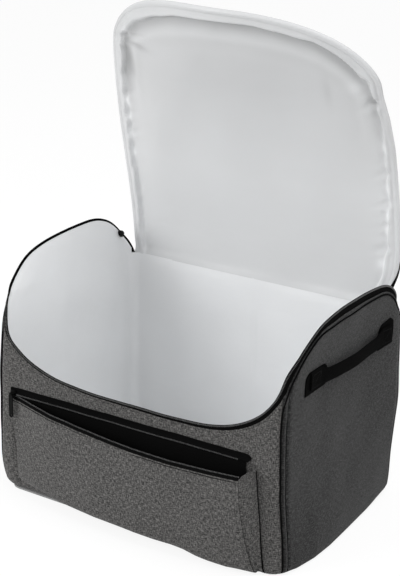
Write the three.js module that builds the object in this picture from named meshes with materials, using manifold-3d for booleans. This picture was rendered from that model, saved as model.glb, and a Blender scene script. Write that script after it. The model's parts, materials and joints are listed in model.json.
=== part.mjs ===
// A padded carrier bag for a slow cooker: a stitched box with a curved lid that zips over its high
// sides, a zipped pocket on the front and a webbing handle on each side.
// Millimetres. +Z is up, the front faces -Y, and the origin is the middle of the base.
import * as THREE from "three";
import { mergeVertices } from "three/addons/utils/BufferGeometryUtils.js";
import Module from "manifold-3d";

const wasm = await Module();
wasm.setup();

// Overall size of the box
const WIDTH = 470;
const DEPTH = 324;
const CORNER_R = 22;

// Layers of a wall, from the outside in
const GAP = 0.3;
const FABRIC = 1.1;
const PADDING = 4.3;
const LINING = 0.8;

// Base
const BOARD = 2.6;
const BASE_PADDING = 4;

// Side view of the bag: two round shoulders under a shallow crown
const SEAM_TOP_Z = 250;
const FRONT_SHOULDER_R = 98;
const REAR_SHOULDER_R = 77;
const REAR_SHOULDER_Z = 271;
const CROWN_R = 560;
const SHOULDER_SEGMENTS = 7;

// Front opening: a smile between the two front seams
const SMILE_LOW_Z = 192;
const SMILE_POWER = 4.3;
const SMILE_SEGMENTS = 18;

// Zipper round the opening
const TAPE_WIDTH = 9.2;
const TAPE = 1.2;
const COIL_R = 0.8;
const COIL_STAND_OFF = 0.4;
const COIL_CORNER_GAP = 1.5;
const CORD_SIDES = 5;

// Lid: strips of padded cloth that curl one on another
const LID_FABRIC = 1;
const LID_PADDING = 3.4;
const LID_TAPE_WIDTH = 6.2;
const LID_CLEARANCE = 0.8;
const LID_END_GAP = 1.5;
const LID_END_SEGMENTS = 24;
const LID_OVERHANG = 0.5;
const LID_NEST = 4.2;
const LID_JOINT_GAP = 0.3;
const BEVEL_SPARE = 0.6;
const HINGE_Z = 288;
const HINGE_STAND_OFF = 1.5;
const BACK_TOP_DROP = 2;
const HINGE_BINDING_WIDTH = 20;
const HINGE_BINDING = 1;
const HINGE_BINDING_INSET = 26;
const CLOSED_TILTS = [22, 62, 90, 118, 150, 180];
const OPEN_TILTS = [2, 8, 18.5, 26, 29.5, 32];

// Front pocket
const POCKET_LEFT_INSET = 30;
const POCKET_RIGHT_INSET = 31.8;
const POCKET_DEPTH = 34;
const POCKET_MOUTH_DROP = 35;
const POCKET_MOUTH_GAP = 9;
const POCKET_FLOOR_Z = 2.6;
const POCKET_FABRIC = 1;
const POCKET_HINGE_GAP = 0.9;
const POCKET_TAPE = 1;
const POCKET_TAPE_WIDTH = 6.7;
const POCKET_UPPER_TAPE_WIDTH = 11;
const POCKET_COIL = 1.6;
const POCKET_ZIP_LEFT_INSET = 18;
const POCKET_ZIP_RIGHT_INSET = 45;
const POCKET_LEFT_GUSSET_DROP = 12;
const POCKET_LEFT_GUSSET_NOSE = 4;

// Zipper sliders and pull tabs
const SLIDER_LENGTH = 10;
const SLIDER_WIDTH = 9;
const SLIDER_THICKNESS = 3.6;
const SLIDER_NOSE = 1.8;
const SLIDER_TAIL = 1;
const SLIDER_SHOULDER = 3;
const BRIDGE_WIDTH = 3;
const BRIDGE_INSET = 1.5;
const BRIDGE_HEIGHT = 5.2;
const PULL_LENGTH = 36;
const PULL_WIDTH = 7;
const PULL_THICKNESS = 1.5;
const PULL_HOLE_R = 1.3;
const PULL_CORNER = 1.8;
const PULL_ABOVE = 0.5;
const LID_SLIDER_ANGLE = 43;

// Side handles
const HANDLE_BOTTOM_Z = 253;
const HANDLE_WIDTH = 26;
const HANDLE_THICKNESS = 4;
const HANDLE_REACH = 11;
const HANDLE_FRONT_INSET = 58;
const HANDLE_REAR_INSET = 38;
const HANDLE_FLAT = 28;
const HANDLE_LAP = 12;
const HANDLE_SEGMENTS = 14;
const PATCH_LENGTH = 43;
const PATCH_HEIGHT = 36;
const PATCH_THICKNESS = 1.6;
const PATCH_CHAMFER = 7;

// Piping along the side seams
const PIPING_R = 1.2;
const PIPING_INSET = 13;
const PIPING_STAND_OFF = 0.4;
const PIPING_CORNER_RUN = 3;
const PIPING_LOW_Z = 4;
const PIPING_FRONT_BEND = 34;
const PIPING_REAR_BEND = 35;

// How far a cutting shape runs past what it cuts, and how far joined pieces run into each other
const PAST = 20;
const JOIN = 0.2;
const FULL_HEIGHT = 420;
const rad = THREE.MathUtils.degToRad;

// Depths of the wall's layers below the outer face
const PADDING_IN = FABRIC + GAP;
const LINING_IN = PADDING_IN + PADDING + GAP;
const CAVITY_IN = LINING_IN + LINING;
const TAPE_IN = (CAVITY_IN - TAPE) / 2;
const BOARD_Z = FABRIC + GAP;
const BASE_PADDING_Z = BOARD_Z + BOARD + GAP;
const LINING_FLOOR_Z = BASE_PADDING_Z + BASE_PADDING + GAP;
const SIDE_X = WIDTH / 2;
const FRONT_Y = -DEPTH / 2;
const BACK_Y = DEPTH / 2;
const PANEL_INSET = TAPE_WIDTH + GAP;
const LID_HALF_WIDTH = SIDE_X + LID_OVERHANG - LID_TAPE_WIDTH - GAP;
const LID_PADDING_HALF_WIDTH = SIDE_X - CAVITY_IN - LID_NEST;
const BACK_TOP_Z = HINGE_Z - BACK_TOP_DROP;

// Middle of the rounded corner, where two panels meet
const SEAM_X = SIDE_X - (CORNER_R - TAPE_IN) * (1 - Math.SQRT1_2) - TAPE_IN;
const SEAM_Y = BACK_Y - (CORNER_R - TAPE_IN) * (1 - Math.SQRT1_2) - TAPE_IN;
const FRONT_SHOULDER = [FRONT_SHOULDER_R - SEAM_Y, SEAM_TOP_Z];
const REAR_SHOULDER = [
  SEAM_Y - Math.sqrt(REAR_SHOULDER_R ** 2 - (HINGE_Z - REAR_SHOULDER_Z) ** 2),
  REAR_SHOULDER_Z,
];

const colours = {
  shell: { color: 0x6b6967, roughness: 0.9 },
  side: { color: 0x4c4c4d, roughness: 0.9 },
  lining: { color: 0xd2d4d6, roughness: 0.45 },
  foam: { color: 0xe6e4da, roughness: 0.95 },
  board: { color: 0xb9a888, roughness: 0.9 },
  tape: { color: 0x1a1a1c, roughness: 0.8 },
  coil: { color: 0x3a3b3e, roughness: 0.45 },
  piping: { color: 0x151516, roughness: 0.7 },
  webbing: { color: 0x141415, roughness: 0.85 },
  pocket_lining: { color: 0x1d1d1f, roughness: 0.9 },
  slider: { color: 0x1c1c1e, roughness: 0.35, metalness: 0.7 },
};

function material(slot) {
  return new THREE.MeshStandardMaterial({ metalness: 0, ...colours[slot] });
}

// A three.js geometry as a solid that can be cut and joined
function solid(geometry) {
  const bare = geometry.index ? geometry.toNonIndexed() : geometry.clone();
  bare.deleteAttribute("normal");
  bare.deleteAttribute("uv");
  const merged = mergeVertices(bare, 1e-4);
  return new wasm.Manifold(
    new wasm.Mesh({
      numProp: 3,
      vertProperties: merged.attributes.position.array,
      triVerts: new Uint32Array(merged.index.array),
    }),
  );
}

// A solid as a named mesh
function mesh(name, slot, body) {
  const data = body.getMesh();
  const points = new Float32Array(data.numVert * 3);
  for (let i = 0; i < data.numVert; i++) {
    points.set(data.vertProperties.subarray(i * data.numProp, i * data.numProp + 3), i * 3);
  }
  const geometry = new THREE.BufferGeometry();
  geometry.setAttribute("position", new THREE.BufferAttribute(points, 3));
  geometry.setIndex(new THREE.BufferAttribute(new Uint32Array(data.triVerts), 1));
  geometry.computeVertexNormals();
  const made = new THREE.Mesh(geometry, material(slot));
  made.name = name;
  return made;
}

function union(bodies) {
  return bodies.reduce((sum, body) => sum.add(body));
}

function extruded(points, depth) {
  const shape = new THREE.Shape(points.map(([a, b]) => new THREE.Vector2(a, b)));
  return new THREE.ExtrudeGeometry(shape, { depth, bevelEnabled: false });
}

// Prisms along the three axes, from outlines in (x, y), (y, z) and (x, z)
function prismZ(points, z0, z1) {
  return solid(extruded(points, z1 - z0).translate(0, 0, z0));
}

function prismX(points, x0, x1) {
  const turn = new THREE.Matrix4().makeBasis(
    new THREE.Vector3(0, 1, 0),
    new THREE.Vector3(0, 0, 1),
    new THREE.Vector3(1, 0, 0),
  );
  return solid(extruded(points, x1 - x0).applyMatrix4(turn).translate(x0, 0, 0));
}

function prismY(points, y0, y1) {
  return solid(extruded(points, y1 - y0).rotateX(Math.PI / 2).translate(0, y1, 0));
}

function box(x0, x1, y0, y1, z0, z1) {
  const size = new THREE.BoxGeometry(x1 - x0, y1 - y0, z1 - z0);
  return solid(size.translate((x0 + x1) / 2, (y0 + y1) / 2, (z0 + z1) / 2));
}

// A round tube of few sides along a list of points
function tube(points, radius, sides, steps) {
  const ring = Array.from({ length: sides }, (_, i) => {
    const turn = (2 * Math.PI * (i + 0.5)) / sides;
    return new THREE.Vector2(radius * Math.cos(turn), radius * Math.sin(turn));
  });
  const path = new THREE.CatmullRomCurve3(
    points.map((p) => new THREE.Vector3(...p)),
    false,
    "centripetal",
  );
  return solid(new THREE.ExtrudeGeometry(new THREE.Shape(ring), { steps, extrudePath: path }));
}

// The bag's plan, a rounded rectangle, inset from the outer face
function plan(inset) {
  const r = CORNER_R - inset;
  const points = [];
  for (const [sx, sy, start] of [[1, 1, 0], [-1, 1, 90], [-1, -1, 180], [1, -1, 270]]) {
    const cx = sx * (SIDE_X - CORNER_R);
    const cy = sy * (BACK_Y - CORNER_R);
    for (const step of [0, 1, 2, 3, 4]) {
      const turn = rad(start + 22.5 * step);
      points.push([cx + r * Math.cos(turn), cy + r * Math.sin(turn)]);
    }
  }
  return points;
}

// Where the inset plan stands at a given y or x
function planX(y, inset) {
  const past = Math.max(0, Math.abs(y) - (BACK_Y - CORNER_R));
  return SIDE_X - CORNER_R + Math.sqrt(Math.max(0, (CORNER_R - inset) ** 2 - past ** 2));
}

function planY(x, inset) {
  const past = Math.max(0, Math.abs(x) - (SIDE_X - CORNER_R));
  return BACK_Y - CORNER_R + Math.sqrt(Math.max(0, (CORNER_R - inset) ** 2 - past ** 2));
}

function ring(outer, inner, z0, z1) {
  return prismZ(plan(outer), z0, z1).subtract(prismZ(plan(inner), z0 - PAST, z1 + PAST));
}

// The crown's circle, which both shoulders touch from inside
function crownCentre() {
  const [fy, fz] = FRONT_SHOULDER;
  const [ry, rz] = REAR_SHOULDER;
  const toFront = CROWN_R - FRONT_SHOULDER_R;
  const toRear = CROWN_R - REAR_SHOULDER_R;
  const apart = Math.hypot(ry - fy, rz - fz);
  const along = (toFront ** 2 - toRear ** 2 + apart ** 2) / (2 * apart);
  const down = Math.sqrt(toFront ** 2 - along ** 2);
  const uy = (ry - fy) / apart;
  const uz = (rz - fz) / apart;
  return [fy + along * uy + down * uz, fz + along * uz - down * uy];
}

const CROWN = crownCentre();
const REAR_CROWN_ANGLE = Math.atan2(REAR_SHOULDER[1] - CROWN[1], REAR_SHOULDER[0] - CROWN[0]);
const FRONT_CROWN_ANGLE = Math.atan2(FRONT_SHOULDER[1] - CROWN[1], FRONT_SHOULDER[0] - CROWN[0]);

function arc([cy, cz], radius, from, to, segments) {
  return Array.from({ length: segments + 1 }, (_, i) => {
    const turn = from + ((to - from) * i) / segments;
    return [cy + radius * Math.cos(turn), cz + radius * Math.sin(turn)];
  });
}

// The curved edge in side view, from the rear hinge forward to the front seam
function sideCurve(inset, fine = 1) {
  const hingeAngle = Math.atan2(HINGE_Z - REAR_SHOULDER_Z, SEAM_Y - REAR_SHOULDER[0]);
  const rear = arc(
    REAR_SHOULDER,
    REAR_SHOULDER_R - inset,
    hingeAngle,
    REAR_CROWN_ANGLE,
    SHOULDER_SEGMENTS * fine,
  );
  const crown = arc(CROWN, CROWN_R - inset, REAR_CROWN_ANGLE, FRONT_CROWN_ANGLE, 3 * fine);
  const front = arc(
    FRONT_SHOULDER,
    FRONT_SHOULDER_R - inset,
    FRONT_CROWN_ANGLE,
    Math.PI,
    SHOULDER_SEGMENTS * fine,
  );
  return [...rear, ...crown.slice(1), ...front.slice(1)];
}

// The side view as a closed outline, run out past the bag's front and back with a falling edge
function sideOutline(inset) {
  const past = DEPTH / 2 + PAST;
  const curve = sideCurve(inset);
  const rearZ = curve[0][1] - PAST / 2 - inset;
  const frontZ = curve[curve.length - 1][1] - PAST / 4 - inset;
  return [[-past, -PAST], [past, -PAST], [past, rearZ], ...curve, [-past, frontZ]];
}

// Height of the front opening's edge
function smileZ(x, inset) {
  const rise = SEAM_TOP_Z - SMILE_LOW_Z;
  return SMILE_LOW_Z - inset + rise * Math.abs(x / SEAM_X) ** SMILE_POWER;
}

// Spaces steps from 0 to 1 so that they crowd together towards 1, where the edge turns up
function crowded(k) {
  return 1 - (1 - k) ** 1.5;
}

function smileOutline(inset) {
  const points = [];
  for (let i = 0; i <= SMILE_SEGMENTS; i++) {
    const k = 1 - (2 * i) / SMILE_SEGMENTS;
    const x = Math.sign(k) * crowded(Math.abs(k)) * SIDE_X;
    points.push([x, smileZ(x, inset)]);
  }
  const past = SIDE_X + PAST;
  return [[-past, -PAST], [past, -PAST], [past, points[0][1]], ...points, [-past, points[0][1]]];
}

// The quarter of the plan that a panel owns, drawn back by a clearance from the corners' diagonals
function quarter(side, clearance) {
  const apex = SIDE_X - BACK_Y;
  const far = FULL_HEIGHT;
  const g = clearance * Math.SQRT2;
  const corners = {
    front: [[-apex - far, -far - g], [apex + far, -far - g], [apex, -g], [-apex, -g]],
    back: [[-apex, g], [apex, g], [apex + far, far + g], [-apex - far, far + g]],
    left: [[-apex - far - g, far], [-apex - far - g, -far], [-apex - g, 0]],
    right: [[apex + g, 0], [apex + far + g, -far], [apex + far + g, far]],
  };
  return prismZ(corners[side], -PAST, FULL_HEIGHT);
}

// What limits each panel's height
function under(side, inset) {
  if (side === "front") {
    return prismY(smileOutline(inset), FRONT_Y - PAST, 0);
  }
  if (side === "back") {
    return box(-SIDE_X - PAST, SIDE_X + PAST, 0, BACK_Y + PAST, -PAST, BACK_TOP_Z);
  }
  return prismX(sideOutline(inset), -SIDE_X - PAST, SIDE_X + PAST);
}

function wallPanel(side, outer, inner, z0) {
  return ring(outer, inner, z0, FULL_HEIGHT)
    .intersect(quarter(side, GAP / 2))
    .intersect(under(side, PANEL_INSET));
}

const SIDES = ["front", "back", "left", "right"];
const bag = new THREE.Group();

// Walls: outer cloth and padding, four of each
for (const side of SIDES) {
  const slot = side === "left" || side === "right" ? "side" : "shell";
  bag.add(mesh(side + "_outer_panel", slot, wallPanel(side, 0, FABRIC, FABRIC + GAP)));
  const padding = wallPanel(side, PADDING_IN, PADDING_IN + PADDING, BASE_PADDING_Z);
  bag.add(mesh(side + "_padding", "foam", padding));
}

// Base: cloth, stiffening board and padding
bag.add(mesh("base_outer_panel", "side", prismZ(plan(0), 0, FABRIC)));
bag.add(mesh("base_board", "board", prismZ(plan(PADDING_IN), BOARD_Z, BOARD_Z + BOARD)));
bag.add(mesh("base_padding", "foam",
  prismZ(plan(LINING_IN + GAP), BASE_PADDING_Z, BASE_PADDING_Z + BASE_PADDING)));

// Lining, sewn as one open tub
function innerLining() {
  const wall = ring(LINING_IN, CAVITY_IN, LINING_FLOOR_Z, FULL_HEIGHT);
  const sides = SIDES.map((side) =>
    wall.intersect(quarter(side, -JOIN / 2)).intersect(under(side, PANEL_INSET)));
  return union([prismZ(plan(LINING_IN), LINING_FLOOR_Z, LINING_FLOOR_Z + LINING), ...sides]);
}
bag.add(mesh("inner_lining", "lining", innerLining()));

// Zipper tape that stands on the edge of the opening, and its coil
function openingTape() {
  const band = ring(TAPE_IN, TAPE_IN + TAPE, SMILE_LOW_Z - 2 * TAPE_WIDTH, FULL_HEIGHT);
  const parts = ["front", "left", "right"].map((side) =>
    band
      .intersect(quarter(side, -JOIN / 2))
      .intersect(under(side, 0))
      .subtract(under(side, TAPE_WIDTH)));
  const rearCut = box(-SIDE_X, SIDE_X, SEAM_Y, BACK_Y + PAST, 0, FULL_HEIGHT);
  return union(parts).subtract(rearCut);
}
bag.add(mesh("opening_zipper_tape", "tape", openingTape()));

function openingCoil() {
  const inset = TAPE_IN - GAP - COIL_R - COIL_STAND_OFF;
  const below = 2 * COIL_R;
  const side = sideCurve(below, 2).filter(([y]) => Math.abs(y) < SEAM_Y - COIL_CORNER_GAP);
  const front = [];
  for (let i = -SMILE_SEGMENTS; i <= SMILE_SEGMENTS; i++) {
    const x = (i / SMILE_SEGMENTS) * (SEAM_X - 2 * COIL_CORNER_GAP);
    front.push([x, -planY(x, inset), smileZ(x, below)]);
  }
  const left = side.map(([y, z]) => [-planX(y, inset), y, z]);
  const right = side.map(([y, z]) => [planX(y, inset), y, z]).reverse();
  return tube([...left, ...front, ...right], COIL_R, CORD_SIDES, 130);
}
bag.add(mesh("opening_zipper_coil", "coil", openingCoil()));

// Piping up the front seam, along the side's curved edge and down the rear seam
function sidePiping(sign) {
  const out = -(GAP + PIPING_R + PIPING_STAND_OFF);
  const start = BACK_Y - CORNER_R;
  const at = (y, z) => [sign * planX(y, out), y, z];
  const curve = sideCurve(PIPING_INSET).filter(([y]) => Math.abs(y) < start + PIPING_CORNER_RUN);
  const bend = (end, seamZ, facing) => [0.25, 0.5, 0.75, 1].map((k) => {
    const y = facing * (start + (CORNER_R - out) * Math.sin((k * Math.PI) / 4));
    return at(y, end + (seamZ - end) * k);
  });
  const seam = (facing) => facing * (start + (CORNER_R - out) * Math.SQRT1_2);
  const rearBendZ = REAR_SHOULDER_Z - PIPING_REAR_BEND;
  const frontBendZ = SEAM_TOP_Z - PIPING_FRONT_BEND;
  const rearBend = bend(curve[0][1], rearBendZ, 1).reverse();
  const frontBend = bend(curve[curve.length - 1][1], frontBendZ, -1);
  const straight = (facing, high) => [0, 0.5, 0.85].map((k) =>
    at(seam(facing), PIPING_LOW_Z + (high - PIPING_LOW_Z) * k));
  const rear = straight(1, rearBendZ);
  const front = straight(-1, frontBendZ).reverse();
  const edge = curve.map(([y, z]) => at(y, z));
  return tube([...rear, ...rearBend, ...edge, ...frontBend, ...front], PIPING_R, CORD_SIDES, 100);
}
bag.add(mesh("left_piping", "piping", sidePiping(-1)));
bag.add(mesh("right_piping", "piping", sidePiping(1)));

// The lid, shut, is a polygon of strips round the side curve. Each strip's line is given by its
// tilt, and its distance by the arc of the side curve that it touches.
const LID_THICKNESS = LID_FABRIC + GAP + LID_PADDING;
const LID_OUT = LID_FABRIC + LID_CLEARANCE;
const HINGE = [BACK_Y + HINGE_STAND_OFF, HINGE_Z];

function lidLine(index) {
  const tilt = rad(CLOSED_TILTS[index]);
  const ny = Math.cos(tilt);
  const nz = Math.sin(tilt);
  if (index === 0) {
    return { ny, nz, far: ny * HINGE[0] + nz * HINGE[1] };
  }
  if (index === CLOSED_TILTS.length - 1) {
    return { ny, nz, far: -ny * (BACK_Y + LID_OUT) };
  }
  let centre = CROWN;
  let radius = CROWN_R;
  if (tilt < REAR_CROWN_ANGLE) {
    centre = REAR_SHOULDER;
    radius = REAR_SHOULDER_R;
  }
  if (tilt > FRONT_CROWN_ANGLE) {
    centre = FRONT_SHOULDER;
    radius = FRONT_SHOULDER_R;
  }
  return { ny, nz, far: ny * centre[0] + nz * centre[1] + radius + LID_OUT };
}

function meeting(a, b) {
  const det = a.ny * b.nz - a.nz * b.ny;
  return [(a.far * b.nz - b.far * a.nz) / det, (a.ny * b.far - b.ny * a.far) / det];
}

const lidLines = CLOSED_TILTS.map((_, i) => lidLine(i));
const lidCorners = [HINGE];
for (let i = 1; i < lidLines.length; i++) {
  lidCorners.push(meeting(lidLines[i - 1], lidLines[i]));
}
const lastCorner = lidCorners[lidCorners.length - 1];
const lidLengths = lidCorners.slice(1).map(([y, z], i) =>
  Math.hypot(y - lidCorners[i][0], z - lidCorners[i][1]));
lidLengths.push(lastCorner[1] - SMILE_LOW_Z - LID_END_GAP);

// Half the bend that a joint reaches when the lid is shut, which its bevels leave room for
function bevel(index) {
  if (index === 0 || index >= CLOSED_TILTS.length) {
    return rad(index === 0 ? CLOSED_TILTS[0] / 2 : 0);
  }
  return rad((CLOSED_TILTS[index] - CLOSED_TILTS[index - 1]) / 2 + BEVEL_SPARE);
}

// One layer of a strip, between two depths below the lid's outer face
function stripLayer(index, depth0, depth1, x0, x1) {
  const low = (depth) => LID_JOINT_GAP + depth * Math.tan(bevel(index));
  const high = (depth) => lidLengths[index] - LID_JOINT_GAP - depth * Math.tan(bevel(index + 1));
  return prismX(
    [[-depth1, low(depth1)], [-depth0, low(depth0)], [-depth0, high(depth0)], [-depth1, high(depth1)]],
    x0,
    x1,
  );
}

// Outline of the lid's free end in its own plane: the front opening's edge, narrowed by an inset
function lidEnd(inset) {
  const half = LID_HALF_WIDTH + GAP + LID_TAPE_WIDTH - inset;
  const points = [];
  for (let i = 0; i <= LID_END_SEGMENTS; i++) {
    const k = 1 - (2 * i) / LID_END_SEGMENTS;
    const x = Math.sign(k) * crowded(Math.abs(k)) * half;
    points.push([x, lastCorner[1] - smileZ(x, 0) - LID_END_GAP - inset]);
  }
  return prismY([[-half, -PAST], [half, -PAST], ...points], -LID_THICKNESS - PAST, PAST);
}

const LID_RIM = LID_TAPE_WIDTH + GAP;
let carrier = bag;
let carrierTop = [HINGE[0], HINGE[1]];
let carrierTilt = 0;
lidLengths.forEach((length, index) => {
  const number = index + 1;
  const strip = new THREE.Group();
  strip.position.set(0, carrierTop[0], carrierTop[1]);
  strip.rotation.x = rad(OPEN_TILTS[index] - carrierTilt);
  const last = index === lidLengths.length - 1;
  const trim = (body, inset) => (last ? body.intersect(lidEnd(inset)) : body);
  const half = LID_HALF_WIDTH;
  const cloth = stripLayer(index, 0, LID_FABRIC, -half, half);
  const padHalf = LID_PADDING_HALF_WIDTH;
  const pad = stripLayer(index, LID_FABRIC + GAP, LID_THICKNESS, -padHalf, padHalf);
  strip.add(mesh("lid_cloth_" + number, "shell", trim(cloth, LID_RIM)));
  strip.add(mesh("lid_padding_" + number, "lining", trim(pad, half + LID_RIM - padHalf)));
  const wide = half + GAP + LID_TAPE_WIDTH;
  if (last) {
    const edge = trim(stripLayer(index, 0, LID_FABRIC, -wide, wide), 0);
    strip.add(mesh("lid_zipper_tape_end", "tape", edge.subtract(lidEnd(LID_TAPE_WIDTH))));
  } else {
    const left = stripLayer(index, 0, LID_FABRIC, -wide, -half - GAP);
    const right = stripLayer(index, 0, LID_FABRIC, half + GAP, wide);
    strip.add(mesh("lid_zipper_tape_left_" + number, "tape", left));
    strip.add(mesh("lid_zipper_tape_right_" + number, "tape", right));
  }
  carrier.add(strip);
  carrier = strip;
  carrierTop = [0, length];
  carrierTilt = OPEN_TILTS[index];
});

// Cloth binding that hinges the lid to the back
const bindingHalf = SIDE_X - HINGE_BINDING_INSET;
bag.add(mesh("lid_hinge_binding", "tape",
  box(-bindingHalf, bindingHalf, BACK_Y + GAP, BACK_Y + GAP + HINGE_BINDING,
    HINGE_Z - HINGE_BINDING_WIDTH, HINGE_Z - GAP)));

// Front pocket
const POCKET_LEFT_X = POCKET_LEFT_INSET - SIDE_X;
const POCKET_RIGHT_X = SIDE_X - POCKET_RIGHT_INSET;
const POCKET_ZIP_LEFT_X = POCKET_ZIP_LEFT_INSET - SIDE_X;
const POCKET_ZIP_RIGHT_X = SIDE_X - POCKET_ZIP_RIGHT_INSET;
const POCKET_MOUTH_Z = SMILE_LOW_Z - POCKET_MOUTH_DROP;
const POCKET_PANEL_TOP_Z = POCKET_MOUTH_Z - POCKET_MOUTH_GAP;
const POCKET_LEFT_GUSSET_TOP_Z = POCKET_MOUTH_Z - POCKET_LEFT_GUSSET_DROP;
const POCKET_BACK_Y = FRONT_Y - GAP;
const POCKET_FACE_Y = FRONT_Y - POCKET_DEPTH;
const POCKET_LINING_IN = POCKET_FABRIC + GAP;

function pocketBackLining() {
  return box(POCKET_LEFT_X + GAP, POCKET_RIGHT_X - GAP, POCKET_BACK_Y - LINING, POCKET_BACK_Y,
    POCKET_FLOOR_Z + POCKET_FABRIC + GAP, POCKET_MOUTH_Z - GAP);
}

function pocketPanel(depth0, depth1, z0, z1) {
  return box(POCKET_LEFT_X, POCKET_RIGHT_X, POCKET_FACE_Y + depth0, POCKET_FACE_Y + depth1, z0, z1);
}

function pocketFloor() {
  const front = POCKET_FACE_Y + POCKET_LINING_IN + LINING + POCKET_HINGE_GAP;
  return box(POCKET_LEFT_X, POCKET_RIGHT_X, front, POCKET_BACK_Y, POCKET_FLOOR_Z,
    POCKET_FLOOR_Z + POCKET_FABRIC);
}

function pocketUpperZipper() {
  const face = POCKET_BACK_Y - POCKET_TAPE;
  const tape = box(POCKET_ZIP_LEFT_X, POCKET_ZIP_RIGHT_X, face, POCKET_BACK_Y,
    POCKET_MOUTH_Z, POCKET_MOUTH_Z + POCKET_UPPER_TAPE_WIDTH);
  const coil = box(POCKET_ZIP_LEFT_X, POCKET_ZIP_RIGHT_X, face - POCKET_COIL, face + JOIN,
    POCKET_MOUTH_Z, POCKET_MOUTH_Z + POCKET_COIL);
  return tape.add(coil);
}

function pocketLowerZipper() {
  const z0 = POCKET_PANEL_TOP_Z + GAP;
  const z1 = z0 + POCKET_TAPE_WIDTH;
  const tape = pocketPanel(0, POCKET_TAPE, z0, z1);
  const coil = pocketPanel(POCKET_TAPE - JOIN, POCKET_TAPE + POCKET_COIL, z1 - POCKET_COIL, z1);
  return tape.add(coil);
}

bag.add(mesh("pocket_back_lining", "pocket_lining", pocketBackLining()));
bag.add(mesh("pocket_floor", "shell", pocketFloor()));
bag.add(mesh("pocket_front", "shell",
  pocketPanel(0, POCKET_FABRIC, POCKET_FLOOR_Z, POCKET_PANEL_TOP_Z)));
bag.add(mesh("pocket_front_lining", "pocket_lining",
  pocketPanel(POCKET_LINING_IN, POCKET_LINING_IN + LINING, POCKET_FLOOR_Z + 2,
    POCKET_PANEL_TOP_Z)));
bag.add(mesh("pocket_zipper_upper", "tape", pocketUpperZipper()));
bag.add(mesh("pocket_zipper_lower", "tape", pocketLowerZipper()));

// The right gusset stands open beside the panel; the left one folds down from the shut zip
const rightGusset = [[POCKET_BACK_Y, POCKET_FLOOR_Z], [POCKET_BACK_Y, POCKET_MOUTH_Z - GAP],
  [POCKET_FACE_Y, POCKET_PANEL_TOP_Z], [POCKET_FACE_Y, POCKET_FLOOR_Z]];
const leftGusset = [[POCKET_BACK_Y, POCKET_FLOOR_Z], [POCKET_BACK_Y, POCKET_LEFT_GUSSET_TOP_Z],
  [POCKET_BACK_Y - POCKET_FABRIC, POCKET_LEFT_GUSSET_TOP_Z],
  [POCKET_FACE_Y, POCKET_FLOOR_Z + POCKET_LEFT_GUSSET_NOSE], [POCKET_FACE_Y, POCKET_FLOOR_Z]];
bag.add(mesh("pocket_right_gusset", "shell",
  prismX(rightGusset, POCKET_RIGHT_X + GAP, POCKET_RIGHT_X + GAP + POCKET_FABRIC)));
bag.add(mesh("pocket_left_gusset", "shell",
  prismX(leftGusset, POCKET_LEFT_X - GAP - POCKET_FABRIC, POCKET_LEFT_X - GAP)));

// A slider with a raised bridge, its tape side on z = 0 and its track along x
function sliderBody() {
  const half = SLIDER_LENGTH / 2;
  const flank = SLIDER_WIDTH / 2;
  const nose = flank - SLIDER_NOSE;
  const tail = flank - SLIDER_TAIL;
  const outline = [[-half, -tail], [-half + 2 * SLIDER_TAIL, -flank], [half - SLIDER_SHOULDER, -flank],
    [half, -nose], [half, nose], [half - SLIDER_SHOULDER, flank], [-half + 2 * SLIDER_TAIL, flank],
    [-half, tail]];
  const bridgeHalf = half - BRIDGE_INSET;
  const bridge = box(-bridgeHalf, bridgeHalf, -BRIDGE_WIDTH / 2, BRIDGE_WIDTH / 2,
    SLIDER_THICKNESS - JOIN, SLIDER_THICKNESS + BRIDGE_HEIGHT);
  return prismZ(outline, 0, SLIDER_THICKNESS).add(bridge);
}

// A pull tab that hangs from its ring end at the origin, flat in the xy plane, with a finger hole
// near its free end
function pullTab() {
  const half = PULL_WIDTH / 2;
  const c = PULL_CORNER;
  const top = PULL_ABOVE;
  const end = top - PULL_LENGTH;
  const outline = [[c - half, top], [half - c, top], [half, top - c], [half, end + c],
    [half - c, end], [c - half, end], [-half, end + c], [-half, top - c]];
  const hole = Array.from({ length: 8 }, (_, i) => {
    const turn = (2 * Math.PI * (i + 0.5)) / 8;
    return [PULL_HOLE_R * Math.cos(turn), end + half + PULL_HOLE_R * Math.sin(turn)];
  });
  return prismZ(outline, 0, PULL_THICKNESS).subtract(prismZ(hole, -PAST, PAST));
}

// Pocket slider on the upper zipper, at its left end
const pocketSlider = new THREE.Group();
pocketSlider.position.set(
  POCKET_ZIP_LEFT_X + 1 + SLIDER_LENGTH / 2,
  POCKET_BACK_Y - POCKET_TAPE - POCKET_COIL - GAP,
  POCKET_MOUTH_Z + POCKET_COIL + GAP + 1,
);
pocketSlider.rotation.x = Math.PI / 2;
pocketSlider.add(mesh("pocket_slider", "slider", sliderBody()));
const pocketPull = mesh("pocket_pull", "slider", pullTab());
pocketPull.position.set(0, 0, SLIDER_THICKNESS + BRIDGE_HEIGHT + GAP);
pocketSlider.add(pocketPull);
bag.add(pocketSlider);

// Lid slider on the left side's rear shoulder, its track along the curve
const lidSlider = new THREE.Group();
const trackR = REAR_SHOULDER_R - TAPE_WIDTH / 2;
const sliderTurn = rad(LID_SLIDER_ANGLE);
lidSlider.position.set(
  -(SIDE_X - TAPE_IN + 2 * COIL_R + COIL_STAND_OFF + 2 * GAP),
  REAR_SHOULDER[0] + trackR * Math.cos(sliderTurn),
  REAR_SHOULDER[1] + trackR * Math.sin(sliderTurn),
);
const outward = new THREE.Vector3(-1, 0, 0);
const radial = new THREE.Vector3(0, Math.cos(sliderTurn), Math.sin(sliderTurn));
const track = new THREE.Vector3().crossVectors(radial, outward);
lidSlider.setRotationFromMatrix(new THREE.Matrix4().makeBasis(track, radial, outward));
lidSlider.add(mesh("lid_slider", "slider", sliderBody()));
bag.add(lidSlider);
const lidPull = mesh("lid_pull", "slider", pullTab());
const upward = new THREE.Vector3(0, 0, 1);
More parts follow.
